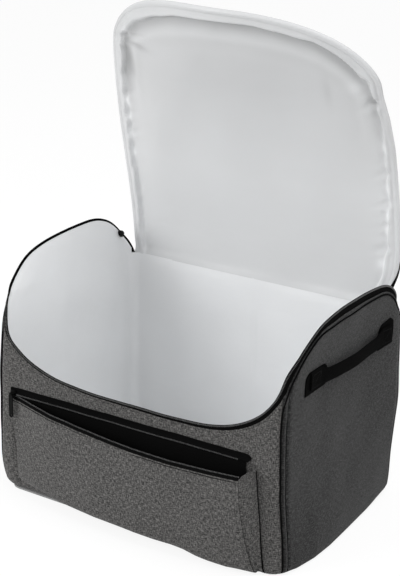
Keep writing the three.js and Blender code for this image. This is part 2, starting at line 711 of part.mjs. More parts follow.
const across = new THREE.Vector3().crossVectors(upward, outward);
lidPull.setRotationFromMatrix(new THREE.Matrix4().makeBasis(across, upward, outward));
lidPull.position.copy(lidSlider.position);
lidPull.position.x -= SLIDER_THICKNESS + BRIDGE_HEIGHT + GAP;
bag.add(lidPull);

// Side handles: a bowed webbing strap over two sewn patches
const HANDLE_FRONT_Y = FRONT_Y + HANDLE_FRONT_INSET;
const HANDLE_REAR_Y = BACK_Y - HANDLE_REAR_INSET;

function handleStrap() {
  const length = HANDLE_REAR_Y - HANDLE_FRONT_Y;
  const inner = [];
  const outer = [];
  for (let i = 0; i <= HANDLE_SEGMENTS; i++) {
    const y = HANDLE_FRONT_Y + (length * i) / HANDLE_SEGMENTS;
    const along = (y - HANDLE_FRONT_Y - HANDLE_FLAT) / (length - 2 * HANDLE_FLAT);
    const lift = HANDLE_REACH * Math.sin(Math.PI * THREE.MathUtils.clamp(along, 0, 1)) ** 0.8;
    inner.push([lift, y]);
    outer.push([lift + HANDLE_THICKNESS, y]);
  }
  return prismZ([...outer, ...inner.reverse()], 0, HANDLE_WIDTH);
}

function handlePatch() {
  const half = PATCH_LENGTH / 2;
  const c = PATCH_CHAMFER;
  return prismX(
    [[-half, 0], [half, 0], [half, PATCH_HEIGHT - c], [half - c, PATCH_HEIGHT],
      [c - half, PATCH_HEIGHT], [-half, PATCH_HEIGHT - c]],
    0,
    PATCH_THICKNESS,
  );
}

const patchX = SIDE_X + GAP;
const patchZ = HANDLE_BOTTOM_Z - (PATCH_HEIGHT - HANDLE_WIDTH) / 2;
const patchAt = [["front", HANDLE_FRONT_Y + HANDLE_LAP], ["rear", HANDLE_REAR_Y - HANDLE_LAP]];
for (const [name, sign] of [["left", -1], ["right", 1]]) {
  const side = new THREE.Group();
  side.scale.x = sign;
  for (const [end, y] of patchAt) {
    const patch = mesh(name + "_handle_patch_" + end, "webbing", handlePatch());
    patch.position.set(patchX, y, patchZ);
    side.add(patch);
  }
  const strap = mesh(name + "_handle_strap", "webbing", handleStrap());
  strap.position.set(patchX + PATCH_THICKNESS + GAP, 0, HANDLE_BOTTOM_Z);
  side.add(strap);
  bag.add(side);
}

export default bag;
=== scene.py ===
import json
import math

import bpy
import numpy as np
from mathutils import Matrix, Vector

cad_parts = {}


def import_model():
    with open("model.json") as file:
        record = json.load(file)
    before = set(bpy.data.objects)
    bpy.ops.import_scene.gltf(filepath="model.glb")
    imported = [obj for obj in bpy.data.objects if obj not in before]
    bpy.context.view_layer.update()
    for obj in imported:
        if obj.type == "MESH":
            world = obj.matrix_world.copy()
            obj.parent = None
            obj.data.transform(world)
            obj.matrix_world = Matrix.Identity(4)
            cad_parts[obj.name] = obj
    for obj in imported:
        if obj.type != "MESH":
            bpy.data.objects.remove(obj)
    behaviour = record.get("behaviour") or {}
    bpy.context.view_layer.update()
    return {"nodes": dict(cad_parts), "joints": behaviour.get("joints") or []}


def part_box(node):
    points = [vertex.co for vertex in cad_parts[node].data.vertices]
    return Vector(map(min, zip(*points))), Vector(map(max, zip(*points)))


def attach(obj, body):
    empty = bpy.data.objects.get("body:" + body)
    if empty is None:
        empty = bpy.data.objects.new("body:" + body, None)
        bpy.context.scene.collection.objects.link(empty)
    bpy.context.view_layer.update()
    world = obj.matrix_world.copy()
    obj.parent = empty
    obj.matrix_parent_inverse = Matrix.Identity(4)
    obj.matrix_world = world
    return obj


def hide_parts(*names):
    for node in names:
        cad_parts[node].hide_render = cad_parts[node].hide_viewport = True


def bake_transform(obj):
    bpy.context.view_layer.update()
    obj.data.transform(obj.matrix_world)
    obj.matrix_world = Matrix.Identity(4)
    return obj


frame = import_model()

# Shapes are worked out in millimetres and stored in metres
MM = 0.001


def corners(node):
    """A CAD node's lowest and highest corners, in millimetres."""
    return [np.array(corner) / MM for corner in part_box(node)]


def joint_origin(name):
    joint = next(j for j in frame["joints"] if j["name"] == name)
    return np.array(joint["pos_m"]) / MM


# Size of the box, from the frame
HALF_WIDTH, HALF_DEPTH = corners("base_outer_panel")[1][:2]
CORNER_R = 22
LINING_CLOTH = 0.8
FLOOR_Z = corners("inner_lining")[0][2] + LINING_CLOTH
BACK_TOP_Z = corners("back_outer_panel")[1][2]

# Depths below the outer face
CLOTH = 1.1
TAPE_IN = 2.8
TAPE = 1.2
CAVITY_IN = 6.8
CLOTH_AT_TAPE = 2.3
LINING_AT_TAPE = 4.4
# Over what distance each layer closes on the tape, and how far below the edge the lining starts
CLOTH_CLOSES_IN = 8.0
LINING_CLOSES_IN = 9
LINING_TOP_IN = 3.4

# Runs along the outer face's plan, from the middle of the front to the middle of the back
FRONT_RUN = HALF_WIDTH - CORNER_R
SIDE_RUN = 2 * (HALF_DEPTH - CORNER_R)
CORNER_RUN = CORNER_R * math.pi / 2
FRONT_DIAGONAL = FRONT_RUN + CORNER_RUN / 2
FRONT_SEAM = FRONT_DIAGONAL + 7
REAR_SEAM = FRONT_RUN + CORNER_RUN * 1.5 + SIDE_RUN - 6
HALF_RUN = 2 * FRONT_RUN + 2 * CORNER_RUN + SIDE_RUN

# Where the filled bag's corners are pushed out: place, reach, and how far it runs before and after the place
CORNER_FULLNESS = ((-FRONT_SEAM - 4, 14.0, 85, 22), (REAR_SEAM, 4.0, 75, 75))
# How far the middle of each wall stands out, what all of them share, and the rear shoulder's part
FRONT_FULL, SIDE_FULL, BACK_FULL, SHARED_FULL = 1.0, 2.2, 3.5, 1.5
SHOULDER_FULL = 8.5
# Above this height the sides lean out, by so much for each millimetre, and start softly
LEAN_START_Z = 256
LEAN_SOFT = 14
RIGHT_LEAN = 0.14
LEFT_LEAN = 0.17

# The opening's edge in side view: two shoulders under a crown
SEAM_Y = HALF_DEPTH - TAPE_IN - (CORNER_R - TAPE_IN) * (1 - math.sqrt(0.5))
SEAM_X = SEAM_Y + HALF_WIDTH - HALF_DEPTH
SEAM_TOP_Z = 250
FRONT_SHOULDER_R = 98
REAR_SHOULDER_R = 77
REAR_SHOULDER_Z = 271
CROWN_R = 560
HINGE = joint_origin("lid_hinge")

# Front edge of the opening
SMILE_LOW_Z = 192
SMILE_POWER = 4.3
SMILE_END_Z = {-1: 243, 1: 257}
# How the soft sides' edges depart from the curve: places along y, and heights
SIDE_LIFT = {
    -1: ((-150, -120, -80, -40, 0, 40, 80, 115, 140, 150), (0, -1, 2.5, 3.5, 4, 6, 8, 5, 1.5, 0)),
    1: ((-150, -110, 90, 120, 145), (0, -1.5, -1, -1, 3)),
}
TAPE_WIDTH = 9.2

# Stitches and coil turns: step along the row, and length of each
STITCH_STEP = 3.4
STITCH = 2.5
SEAM_TO_STITCH = 7.2
TAPE_TO_STITCH = 2.6
COIL_STEP = 1.9
COIL_TURN = 1.15


# Numbers

def eased(t):
    t = np.clip(t, 0, 1)
    return t * t * (3 - 2 * t)


def hump(t):
    """A smooth rise and fall with its top, 1, at t = 0 and its feet at -1 and 1."""
    return eased(1 - np.abs(t))


def softened(values, sigma):
    """Points in even steps, smoothed along their length; the ends stay put."""
    reach = int(4 * sigma)
    k = np.arange(-reach, reach + 1)
    weights = np.exp(-0.5 * (k / sigma) ** 2)
    weights /= weights.sum()
    head = 2 * values[0] - values[reach:0:-1]
    tail = 2 * values[-1] - values[-2:-reach - 2:-1]
    padded = np.vstack([head, values, tail])
    return np.column_stack([np.convolve(padded[:, i], weights, "valid") for i in range(values.shape[1])])


def lengths_along(points):
    steps = np.linalg.norm(np.diff(points, axis=0), axis=1)
    return np.concatenate([[0], np.cumsum(steps)])


def resampled(points, step=None, at=None):
    """Points along a line, in even steps or at the given lengths."""
    run = lengths_along(points)
    if at is None:
        at = np.linspace(0, run[-1], max(2, int(round(run[-1] / step)) + 1))
    return np.column_stack([np.interp(at, run, points[:, i]) for i in range(points.shape[1])])


def graded(start, end, edge_steps, step, both=True):
    """Values from start to end: close together at the ends, as edge_steps says, and even between."""
    near = start + np.array(edge_steps, float)
    far = end - np.array(edge_steps[::-1], float) if both else np.array([end], float)
    middle = np.linspace(near[-1], far[0], max(2, int(round((far[0] - near[-1]) / step))))
    return np.concatenate([near, middle[1:-1], far])


def together(*columns):
    """Coordinates of points, from one array or number for each axis."""
    return np.stack(np.broadcast_arrays(*columns), axis=-1)


def one_way(x, y, z, points):
    """The same direction for each of the points."""
    return np.tile(np.array([x, y, z], float), (len(points), 1))


def towards(normals, way):
    """Normals turned round, if need be, to face the given way."""
    return normals if np.sum(normals * way) > 0 else -normals


def handed(sign, *grids):
    """Grids of the left side with their columns turned round, so that they face out."""
    return [grid[:, ::-1] for grid in grids] if sign < 0 else grids


# Objects and meshes

def placed(name, data):
    """A new object at the origin."""
    thing = bpy.data.objects.new(name, data)
    bpy.context.scene.collection.objects.link(thing)
    return thing


def evaluated_mesh(thing, name):
    """An object's mesh with its modifiers worked in."""
    graph = bpy.context.evaluated_depsgraph_get()
    graph.update()
    mesh = bpy.data.meshes.new_from_object(thing.evaluated_get(graph))
    mesh.name = name
    return mesh


def grid_normals(grid):
    across = np.gradient(grid, axis=1)
    up = np.gradient(grid, axis=0)
    normals = np.cross(across, up)
    size = np.linalg.norm(normals, axis=2, keepdims=True)
    return normals / np.maximum(size, 1e-9)


def quads(index):
    """Faces of a grid of vertex numbers, seen with its columns to the right and its rows up."""
    a, b = index[:-1, :-1], index[:-1, 1:]
    c, d = index[1:, 1:], index[1:, :-1]
    return np.stack([a, b, c, d], axis=-1).reshape(-1, 4)


def new_mesh(name, points, faces, material, uv, corner_normals=None):
    """A mesh object from points in millimetres. uv holds one pair for each point, in metres."""
    mesh = bpy.data.meshes.new(name)
    mesh.from_pydata((np.asarray(points, float) * MM).tolist(), [], [list(map(int, f)) for f in faces])
    layer = mesh.uv_layers.new(name="cloth")
    points_of_loops = np.zeros(len(mesh.loops), int)
    mesh.loops.foreach_get("vertex_index", points_of_loops)
    layer.data.foreach_set("uv", np.asarray(uv, np.float32)[points_of_loops].ravel())
    mesh.polygons.foreach_set("use_smooth", [True] * len(mesh.polygons))
    if corner_normals is not None:
        mesh.normals_split_custom_set(corner_normals.tolist())
    mesh.update()
    mesh.materials.append(material)
    return placed(name, mesh)


def slab(name, front, back, material, uv, front_normals=None):
    """A closed sheet between two grids of points. The front grid faces out, columns to the right."""
    rows, cols = front.shape[:2]
    count = rows * cols
    face = np.arange(count).reshape(rows, cols)
    rear = face + count
    if front_normals is None:
        front_normals = grid_normals(front)
    points = np.vstack([front.reshape(-1, 3), back.reshape(-1, 3)])
    normals = np.vstack([front_normals.reshape(-1, 3), -grid_normals(back).reshape(-1, 3)])
    skins = np.vstack([quads(face), quads(rear)[:, ::-1]])
    ring = np.concatenate([face[0, :-1], face[:-1, -1], face[-1, :0:-1], face[:0:-1, 0]])
    after = np.roll(ring, -1)
    edge = np.column_stack([after, ring, ring + count, after + count])
    flat = np.cross(points[edge[:, 2]] - points[edge[:, 0]], points[edge[:, 3]] - points[edge[:, 1]])
    flat /= np.maximum(np.linalg.norm(flat, axis=1, keepdims=True), 1e-9)
    corner_normals = np.vstack([normals[skins.ravel()], np.repeat(flat, 4, axis=0)])
    uv = np.tile(uv.reshape(-1, 2), (2, 1)) * MM
    return new_mesh(name, points, np.vstack([skins, edge]), material, uv, corner_normals)


def tube(name, points, facing, radius, material, sides=10):
    """A round closed tube along points. facing holds a direction across it at each point."""
    along = np.gradient(points, axis=0)
    along /= np.linalg.norm(along, axis=1, keepdims=True)
    out = facing - along * np.sum(facing * along, axis=1, keepdims=True)
    out /= np.linalg.norm(out, axis=1, keepdims=True)
    side = np.cross(along, out)
    turn = np.linspace(0, 2 * math.pi, sides, endpoint=False)
    ring = out[:, None] * np.cos(turn)[None, :, None] + side[:, None] * np.sin(turn)[None, :, None]
    body = points[:, None] + radius * ring
    count = len(points)
    index = np.arange(count * sides).reshape(count, sides)
    wrapped = np.column_stack([index, index[:, 0]])
    faces = [list(f) for f in quads(wrapped)]
    faces.append(list(index[0][::-1]))
    faces.append(list(index[-1]))
    run = lengths_along(points)
    uv = together(run[:, None], turn * radius)
    return new_mesh(name, body.reshape(-1, 3), faces, material, uv.reshape(-1, 2) * MM)


def joined(name, things):
    """Several mesh objects as one."""
    target = things[0]
    with bpy.context.temp_override(active_object=target, object=target, selected_editable_objects=things):
        bpy.ops.object.join()
    target.name = name
    target.data.name = name
    return target


def stand_for(nodes):
    """Hides the CAD nodes that a piece stands for."""
    if nodes:
        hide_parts(*nodes)


def settle(thing, body, slot, *nodes):
    """Puts a finished piece on its body, in place of the CAD nodes that it stands for."""
    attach(thing, body)
    stand_for(nodes)


def settle_bent(thing, bodies, line, slot, *nodes):
    """For cloth that crosses a joint: works its transform into its mesh and hides the CAD nodes that it
    stands for; the line to bend along, given in millimetres, is not used.
    """
    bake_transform(thing)
    stand_for(nodes)


# Materials

# The wave texture repeats once in each pattern unit at this scale
WAVE_SCALE = 2 * math.pi / 20


def new_node(tree, kind, inputs=None, **settings):
    """A node with its settings made; each named input gets a value, or an output to follow."""
    node = tree.nodes.new(kind)
    for key, value in settings.items():
        setattr(node, key, value)
    for key, value in (inputs or {}).items():
        if isinstance(value, bpy.types.NodeSocket):
            tree.links.new(value, node.inputs[key])
        else:
            node.inputs[key].default_value = value
    return node


class Finish:
    """A material under construction: a Principled shader and the nodes that feed it."""

    def __init__(self, name, roughness, specular=0.5):
        self.material = bpy.data.materials.new(name)
        self.material.use_nodes = True
        self.tree = self.material.node_tree
        self.shader = self.tree.nodes["Principled BSDF"]
        self.shader.inputs["Roughness"].default_value = roughness
        self.shader.inputs["Specular IOR Level"].default_value = specular

    def add(self, kind, inputs=None, **settings):
        return new_node(self.tree, kind, inputs, **settings)

    def link(self, output, target):
        self.tree.links.new(output, target)

    def place(self, source, scale):
        """Coordinates in metres, scaled by how many pattern units fit in a metre."""
        if source == "UV":
            coordinates = self.add("ShaderNodeUVMap", uv_map="cloth").outputs["UV"]
        else:
            coordinates = self.add("ShaderNodeTexCoord").outputs["Object"]
        return self.add("ShaderNodeMapping", {"Scale": scale, "Vector": coordinates}).outputs["Vector"]

    def noise(self, source, size, detail=2.0):
        """Soft random values whose lumps have the given size in millimetres along each axis."""
        place = self.place(source, [1 / (MM * s) for s in size])
        inputs = {"Scale": 1.0, "Detail": detail, "Vector": place}
        return self.add("ShaderNodeTexNoise", inputs).outputs["Fac"]

    def ribs(self, source, direction, pitch):
        """Even waves across a direction, one for each pitch in millimetres."""
        place = self.place(source, [1 / (MM * pitch)] * 3)
        inputs = {"Scale": WAVE_SCALE, "Distortion": 0.0, "Vector": place}
        return self.add("ShaderNodeTexWave", inputs, bands_direction=direction).outputs["Fac"]

    def math(self, operation, first, second):
        return self.add("ShaderNodeMath", {0: first, 1: second}, operation=operation).outputs["Value"]

    def ramp(self, value, stops):
        node = self.add("ShaderNodeValToRGB", {"Fac": value})
        ramp = node.color_ramp
        while len(ramp.elements) < len(stops):
            ramp.elements.new(0.5)
        for element, (place, colour) in zip(ramp.elements, stops):
            element.position = place
            element.color = (*colour, 1)
        return node.outputs["Color"]

    def colour(self, value):
        if isinstance(value, tuple):
            self.shader.inputs["Base Color"].default_value = (*value, 1)
        else:
            self.link(value, self.shader.inputs["Base Color"])

    def bump(self, height, distance, strength):
        """Relief of the given depth in millimetres, over any relief that is there already."""
        inputs = {"Distance": distance * MM, "Strength": strength, "Height": height}
        before = self.shader.inputs["Normal"].links
        if before:
            inputs["Normal"] = before[0].from_socket
        self.link(self.add("ShaderNodeBump", inputs).outputs["Normal"], self.shader.inputs["Normal"])

    def sheen(self, weight, roughness):
        self.shader.inputs["Sheen Weight"].default_value = weight
        self.shader.inputs["Sheen Roughness"].default_value = roughness


def grey(level, warm=0.0):
    return (level * (1 + warm), level, level * (1 - warm))


def heather_cloth(name, dark, mid, light):
    """Woven polyester with flecked yarns both ways."""
    finish = Finish(name, roughness=0.88, specular=0.25)
    warp = finish.noise("UV", (1.3, 5.5, 1.0), detail=2.0)
    weft = finish.noise("UV", (5.5, 1.3, 1.0), detail=2.0)
    fleck = finish.noise("UV", (1.5, 1.4, 1.0), detail=1.0)
    yarns = finish.math("ADD", finish.math("MULTIPLY", warp, 0.42), finish.math("MULTIPLY", weft, 0.42))
    both = finish.math("ADD", yarns, finish.math("MULTIPLY", fleck, 0.16))
    cloudy = finish.noise("UV", (90.0, 90.0, 1.0), detail=1.0)
    total = finish.math("ADD", both, finish.math("MULTIPLY", finish.math("SUBTRACT", cloudy, 0.5), 0.03))
    finish.colour(finish.ramp(total, [(0.41, dark), (0.5, mid), (0.6, light)]))
    over = finish.ribs("UV", "X", 0.8)
    under = finish.ribs("UV", "Y", 0.8)
    finish.bump(finish.math("MULTIPLY", over, under), 0.25, 0.6)
    finish.bump(total, 0.9, 0.7)
    finish.sheen(0.12, 0.5)
    return finish.material


def satin_lining(name, level, roughness=0.42):
    """Smooth coated lining with a soft sheen and faint ripples."""
    finish = Finish(name, roughness=roughness, specular=0.45)
    clouds = finish.noise("Object", (120.0, 120.0, 120.0), detail=1.0)
    cloth = finish.ramp(clouds, [(0.3, grey(level * 0.97, -0.01)), (0.7, grey(level, -0.012))])
    # Painted shade stored on the points scales the colour: darker in painted shadows, lighter where it is
    # below zero, as painted highlights.
    painted_shade = finish.add("ShaderNodeAttribute", attribute_name="painted_shade").outputs["Fac"]
    clear = finish.math("SUBTRACT", 1.0, painted_shade)
    colour_with_painted_shade = finish.add("ShaderNodeVectorMath", {0: cloth, "Scale": clear}, operation="SCALE")
    finish.colour(colour_with_painted_shade.outputs["Vector"])
    ripple = finish.noise("Object", (38.0, 38.0, 26.0), detail=2.0)
    finish.bump(ripple, 2.4, 0.35)
    finish.bump(finish.noise("Object", (0.5, 0.5, 0.5), detail=1.0), 0.05, 0.25)
    finish.sheen(0.25, 0.35)
    return finish.material


def ribbed_tape(name, level, pitch, depth, roughness=0.8):
    """Woven tape or webbing with ribs across it."""
    finish = Finish(name, roughness=roughness, specular=0.015)
    ribs = finish.ribs("UV", "X", pitch)
    yarn = finish.noise("UV", (0.5, 2.2, 1.0), detail=2.0)
    finish.colour(finish.ramp(yarn, [(0.3, grey(level * 0.55)), (0.75, grey(level * 1.5))]))
    finish.bump(ribs, depth, 0.8)
    finish.bump(yarn, 0.15, 0.5)
    return finish.material


def plain_finish(name, level, roughness, specular=0.5, grain=0.6):
    """Thread, coil or enamel: one colour with a fine grain."""
    finish = Finish(name, roughness=roughness, specular=specular)
    mottle = finish.noise("Object", (grain, grain, grain), detail=2.0)
    finish.colour(finish.ramp(mottle, [(0.3, grey(level * 0.8)), (0.7, grey(level * 1.2))]))
    finish.bump(mottle, 0.06, 0.4)
    return finish.material


SHELL = heather_cloth("heather_shell", grey(0.016, 0.02), grey(0.07, 0.03), grey(0.165, 0.03))
# The sides and base use a darker heather: partly a darker side cloth, partly painted shade for the less lit
# sides.
SIDE_CLOTH_DARK_AND_SHADED = heather_cloth("heather_side_dark_and_shaded", grey(0.002, 0.0), grey(0.014, 0.0), grey(0.05, 0.0))
LINING = satin_lining("silvery_lining", 0.66)
# The tub's lining is the lid's lining cloth painted lighter, standing in for the light inside the tub.
TUB_LINING_PAINTED_LIGHTER = satin_lining("lining_painted_lighter", 0.86)
TAPE_BLACK = ribbed_tape("zipper_tape", 0.004, 0.9, 0.2)
WEBBING = ribbed_tape("handle_webbing", 0.003, 2.1, 0.5)
POCKET_CLOTH = ribbed_tape("pocket_lining", 0.005, 0.5, 0.08)
PIPING = plain_finish("piping_cord", 0.003, 0.8, specular=0.03)
COIL = plain_finish("nylon_coil", 0.09, 0.3)
THREAD = plain_finish("dark_thread", 0.012, 0.75, specular=0.15, grain=0.3)
ENAMEL = plain_finish("black_enamel", 0.003, 0.3, specular=0.07)
FOAM = plain_finish("foam", 0.7, 0.9, grain=1.2)
BOARD = plain_finish("base_board", 0.3, 0.9, grain=2.0)


# Rows of stitches or coil turns

def row_tree():
    """Geometry Nodes: small rounded pieces in even steps along a line, turned to its facing."""
    tree = bpy.data.node_groups.new("rows_along_a_line", "GeometryNodeTree")
    lengths = [(name, "Float") for name in ("Spacing", "Length", "Width", "Height", "Lift")]
    for name, kind in [("Geometry", "Geometry")] + lengths + [("Seed", "Int"), ("Material", "Material")]:
        tree.interface.new_socket(name, in_out="INPUT", socket_type="NodeSocket" + kind)
    tree.interface.new_socket("Geometry", in_out="OUTPUT", socket_type="NodeSocketGeometry")

    def node(kind, inputs=None, **settings):
        return new_node(tree, kind, inputs, **settings).outputs

    given = node("NodeGroupInput")
    line = node("GeometryNodeMeshToCurve", {"Mesh": given["Geometry"]})["Curve"]
    steps = node("GeometryNodeResampleCurve", {"Curve": line, "Length": given["Spacing"]}, mode="LENGTH")
    given_way = node("GeometryNodeInputNamedAttribute", {"Name": "facing"}, data_type="FLOAT_VECTOR")
    facing = given_way["Attribute"]
    upright = node("FunctionNodeAlignRotationToVector", {"Vector": facing}, axis="Z")["Rotation"]
    turning = {"Rotation": upright, "Vector": node("GeometryNodeInputTangent")["Tangent"]}
    along = node("FunctionNodeAlignRotationToVector", turning, axis="X", pivot_axis="Z")
    lift = node("ShaderNodeVectorMath", {0: facing, "Scale": given["Lift"]}, operation="SCALE")
    raised = node("GeometryNodeSetPosition", {"Geometry": steps["Curve"], "Offset": lift["Vector"]})
    bead = node("GeometryNodeMeshUVSphere", {"Segments": 8, "Rings": 4, "Radius": 0.5})
    sizes = {axis: given[name] for axis, name in zip("XYZ", ("Length", "Width", "Height"))}
    size = node("ShaderNodeCombineXYZ", sizes)
    shaped = node("GeometryNodeTransform", {"Geometry": bead["Mesh"], "Scale": size["Vector"]})
    vary = node("FunctionNodeRandomValue", {2: 0.88, 3: 1.06, "Seed": given["Seed"]}, data_type="FLOAT")
    beads = node("GeometryNodeInstanceOnPoints", {
        "Points": raised["Geometry"], "Instance": shaped["Geometry"],
        "Rotation": along["Rotation"], "Scale": vary[1],
    })
    real = node("GeometryNodeRealizeInstances", {"Geometry": beads["Instances"]})
    rounded = node("GeometryNodeSetShadeSmooth", {"Geometry": real["Geometry"]})
    covered = {"Geometry": rounded["Geometry"], "Material": given["Material"]}
    painted = node("GeometryNodeSetMaterial", covered)
    node("NodeGroupOutput", {"Geometry": painted["Geometry"]})
    return tree


ROW_TREE = row_tree()


def row(name, lines, material, spacing, length, width, height, lift=0.0):
    """One mesh of pieces along several lines. Each line is (points, facing), in millimetres."""
    points = np.vstack([p for p, _ in lines])
    facing = np.vstack([f for _, f in lines])
    edges = []
    first = 0
    for line, _ in lines:
        edges += [(first + i, first + i + 1) for i in range(len(line) - 1)]
        first += len(line)
    mesh = bpy.data.meshes.new(name + "_line")
    mesh.from_pydata((points * MM).tolist(), edges, [])
    attribute = mesh.attributes.new("facing", "FLOAT_VECTOR", "POINT")
    attribute.data.foreach_set("vector", facing.astype(np.float32).ravel())
    carrier = placed(name + "_line", mesh)
    modifier = carrier.modifiers.new("rows", "NODES")
    modifier.node_group = ROW_TREE
    given = {"Spacing": spacing * MM, "Length": length * MM, "Width": width * MM,
             "Height": height * MM, "Lift": lift * MM, "Seed": 1, "Material": material}
    for socket in ROW_TREE.interface.items_tree:
        if socket.in_out == "INPUT" and socket.name in given:
            modifier[socket.identifier] = given[socket.name]
    made = evaluated_mesh(carrier, name)
    bpy.data.objects.remove(carrier)
    return placed(name, made)


# The bag's skin: u runs round the plan from the middle of the front, h up from the floor

def foot_spread(u):
    """How far the filled bag's right side spreads where it meets the base."""
    return np.interp(u, [225, 262, 300, 340, 400, 480, 545, 600], [0, 9, 15, 16, 13, 8, 2, 0])


def wall_swell(u, h):
    """How far the soft walls stand out from the flat box, inside and outside alike."""
    s = np.abs(u)
    front = np.clip(1 - (s / FRONT_SEAM) ** 2, 0, 1)
    side = np.clip(1 - ((s - (FRONT_SEAM + REAR_SEAM) / 2) / ((REAR_SEAM - FRONT_SEAM) / 2)) ** 2, 0, 1)
    back = np.clip(1 - ((HALF_RUN - s) / (HALF_RUN - REAR_SEAM)) ** 2, 0, 1)
    rise = np.sqrt(1 - (1 - np.clip(h / 60, 0, 1)) ** 2)
    belly = rise * np.sin(math.pi * np.clip(h / 300, 0.5, 1)) ** 0.8
    fullness = (FRONT_FULL * front + SIDE_FULL * side + BACK_FULL * back + SHARED_FULL) * belly
    for corner, reach, before, after in CORNER_FULLNESS:
        width = np.where(u < corner, before, after)
        fullness = fullness + reach * np.exp(-((u - corner) / width) ** 2) * belly
    upper = eased((h - 30) / 130) * (1 - eased((h - 262) / 70))
    fullness = fullness + SHOULDER_FULL * upper * np.exp(-((u - REAR_SEAM) / 60) ** 2)
    fullness = fullness + foot_spread(u) * np.exp(-(np.maximum(h - 8, 0) / 75) ** 2)
    lean_rate = np.where(u > 0, RIGHT_LEAN, LEFT_LEAN)
    on_side = eased((s - FRONT_SEAM + 12) / 30) * eased((REAR_SEAM + 12 - s) / 30)
    above = np.log1p(np.exp((h - LEAN_START_Z) / LEAN_SOFT)) * LEAN_SOFT
    lean = lean_rate * above * on_side
    slack = (0.55 * np.sin(u / 21 + h / 47) * np.sin(h / 33 - u / 90 + 0.7)
             + 0.35 * np.sin(u / 11.5 - h / 26 + 1.9) * np.sin(h / 19 + u / 60))
    return fullness + lean + slack * eased(h / 50)


def foot_radius(u):
    """Radius of the rounded foot: softest at the front's left corner, tight along the right side."""
    return np.interp(u, [-700, -330, -237, -120, 60, 200, 250, 545, 700], [10, 16, 19, 15, 11, 7, 6, 8, 10])


def seam_lean(u, h):
    """The front corners' seams lean towards the front with height, and the cloth beside them follows."""
    lean = np.interp(h, [0, 51, 114, 209, 270], [0.5, -1.2, -5.5, -7.4, -5.0])
    return np.sign(u) * lean * np.exp(-((np.abs(u) - FRONT_SEAM) / 26) ** 2)


def skin(u, h, depth=0.0, relief=0.0):
    """A point of the wall, a depth below the outer face."""
    u, h, depth, relief = np.broadcast_arrays(u, h, depth, relief)
    u = u + seam_lean(u, h)
    s = np.abs(u)
    turn = (np.clip((s - FRONT_RUN) / CORNER_R, 0, math.pi / 2)
            + np.clip((s - FRONT_RUN - CORNER_RUN - SIDE_RUN) / CORNER_R, 0, math.pi / 2))
    core_x = np.minimum(s, FRONT_RUN) - np.maximum(0, s - FRONT_RUN - 2 * CORNER_RUN - SIDE_RUN)
    core_y = np.clip(s - FRONT_RUN - CORNER_RUN, 0, SIDE_RUN) - SIDE_RUN / 2
    foot_r = foot_radius(u)
    foot = np.clip(h / foot_r, 0, 1) * math.pi / 2
    held = np.clip(foot_spread(u) / 9, 0, 1)
    swell = (wall_swell(u, h) + relief * eased(h / 12)) * (held + (1 - held) * eased(h / 12))
    reach = CORNER_R - foot_r + (foot_r - depth) * np.sin(foot) + swell
    x = np.sign(u + 1e-12) * (core_x + reach * np.sin(turn))
    y = core_y - reach * np.cos(turn)
    z = np.where(h < foot_r, foot_r - (foot_r - depth) * np.cos(foot), h)
    return together(x, y, z)


def round_back(u):
    """u past the middle of the back, where it comes round to the left side."""
    return np.where(u > HALF_RUN, u - 2 * HALF_RUN, u)


def facing_out(u, h):
    """The skin's outward direction."""
    step = 0.5
    across = skin(u + step, h) - skin(u - step, h)
    up = skin(u, h + step) - skin(u, np.maximum(h - step, 0.0))
    out = np.cross(across, up)
    return out / np.linalg.norm(out, axis=-1, keepdims=True)


def side_curve():
    """(y, z) along the curved edge, from the front seam to the rear hinge."""
    front = np.array([FRONT_SHOULDER_R - SEAM_Y, SEAM_TOP_Z])
    rear_y = SEAM_Y - math.sqrt(REAR_SHOULDER_R ** 2 - (HINGE[2] - REAR_SHOULDER_Z) ** 2)
    rear = np.array([rear_y, REAR_SHOULDER_Z])
    to_front = CROWN_R - FRONT_SHOULDER_R
    to_rear = CROWN_R - REAR_SHOULDER_R
    apart = np.linalg.norm(rear - front)
    unit = (rear - front) / apart
    along = (to_front ** 2 - to_rear ** 2 + apart ** 2) / (2 * apart)
    down = math.sqrt(to_front ** 2 - along ** 2)
    crown = front + along * unit + down * np.array([unit[1], -unit[0]])
    angles = [math.atan2(*(c - crown)[::-1]) for c in (front, rear)]
    hinge_angle = math.atan2(HINGE[2] - REAR_SHOULDER_Z, SEAM_Y - rear_y)

    def arc(centre, radius, start, end):
        turn = np.linspace(start, end, 60)
        return np.column_stack([centre[0] + radius * np.cos(turn), centre[1] + radius * np.sin(turn)])

    return np.vstack([
        arc(front, FRONT_SHOULDER_R, math.pi, angles[0]),
        arc(crown, CROWN_R, angles[0], angles[1])[1:],
        arc(rear, REAR_SHOULDER_R, angles[1], hinge_angle)[1:],
    ])


def side_run(y):
    """Length along the plan to the side's points at y."""
    past = np.clip((np.abs(y) - SIDE_RUN / 2) / (CORNER_R - TAPE_IN), 0, 1)
    turn = np.arccos(past)
    straight = FRONT_RUN + CORNER_RUN + np.clip(y + SIDE_RUN / 2, 0, SIDE_RUN)
    bend = CORNER_R * (math.pi / 2 - turn)
    return straight + np.sign(y) * bend


def opening_half(sign):
    """(u, h) along half of the opening's edge, from the middle of the front to the rear hinge."""
    end = SMILE_END_Z[sign]
    run = np.linspace(0, FRONT_DIAGONAL, 80)
    x = np.minimum(run, FRONT_RUN) + CORNER_R * np.sin(np.clip((run - FRONT_RUN) / CORNER_R, 0, 1))
    smile = np.column_stack([run, SMILE_LOW_Z + (end - SMILE_LOW_Z) * (x / SEAM_X) ** SMILE_POWER])
    curve = side_curve()
    curve = curve[curve[:, 1] > end + 2]
    curve[:, 1] += np.interp(curve[:, 0], *SIDE_LIFT[sign])
    side = np.column_stack([side_run(curve[:, 0]), curve[:, 1]])
    both = np.vstack([smile, side])
    both[:, 0] *= sign
    return both


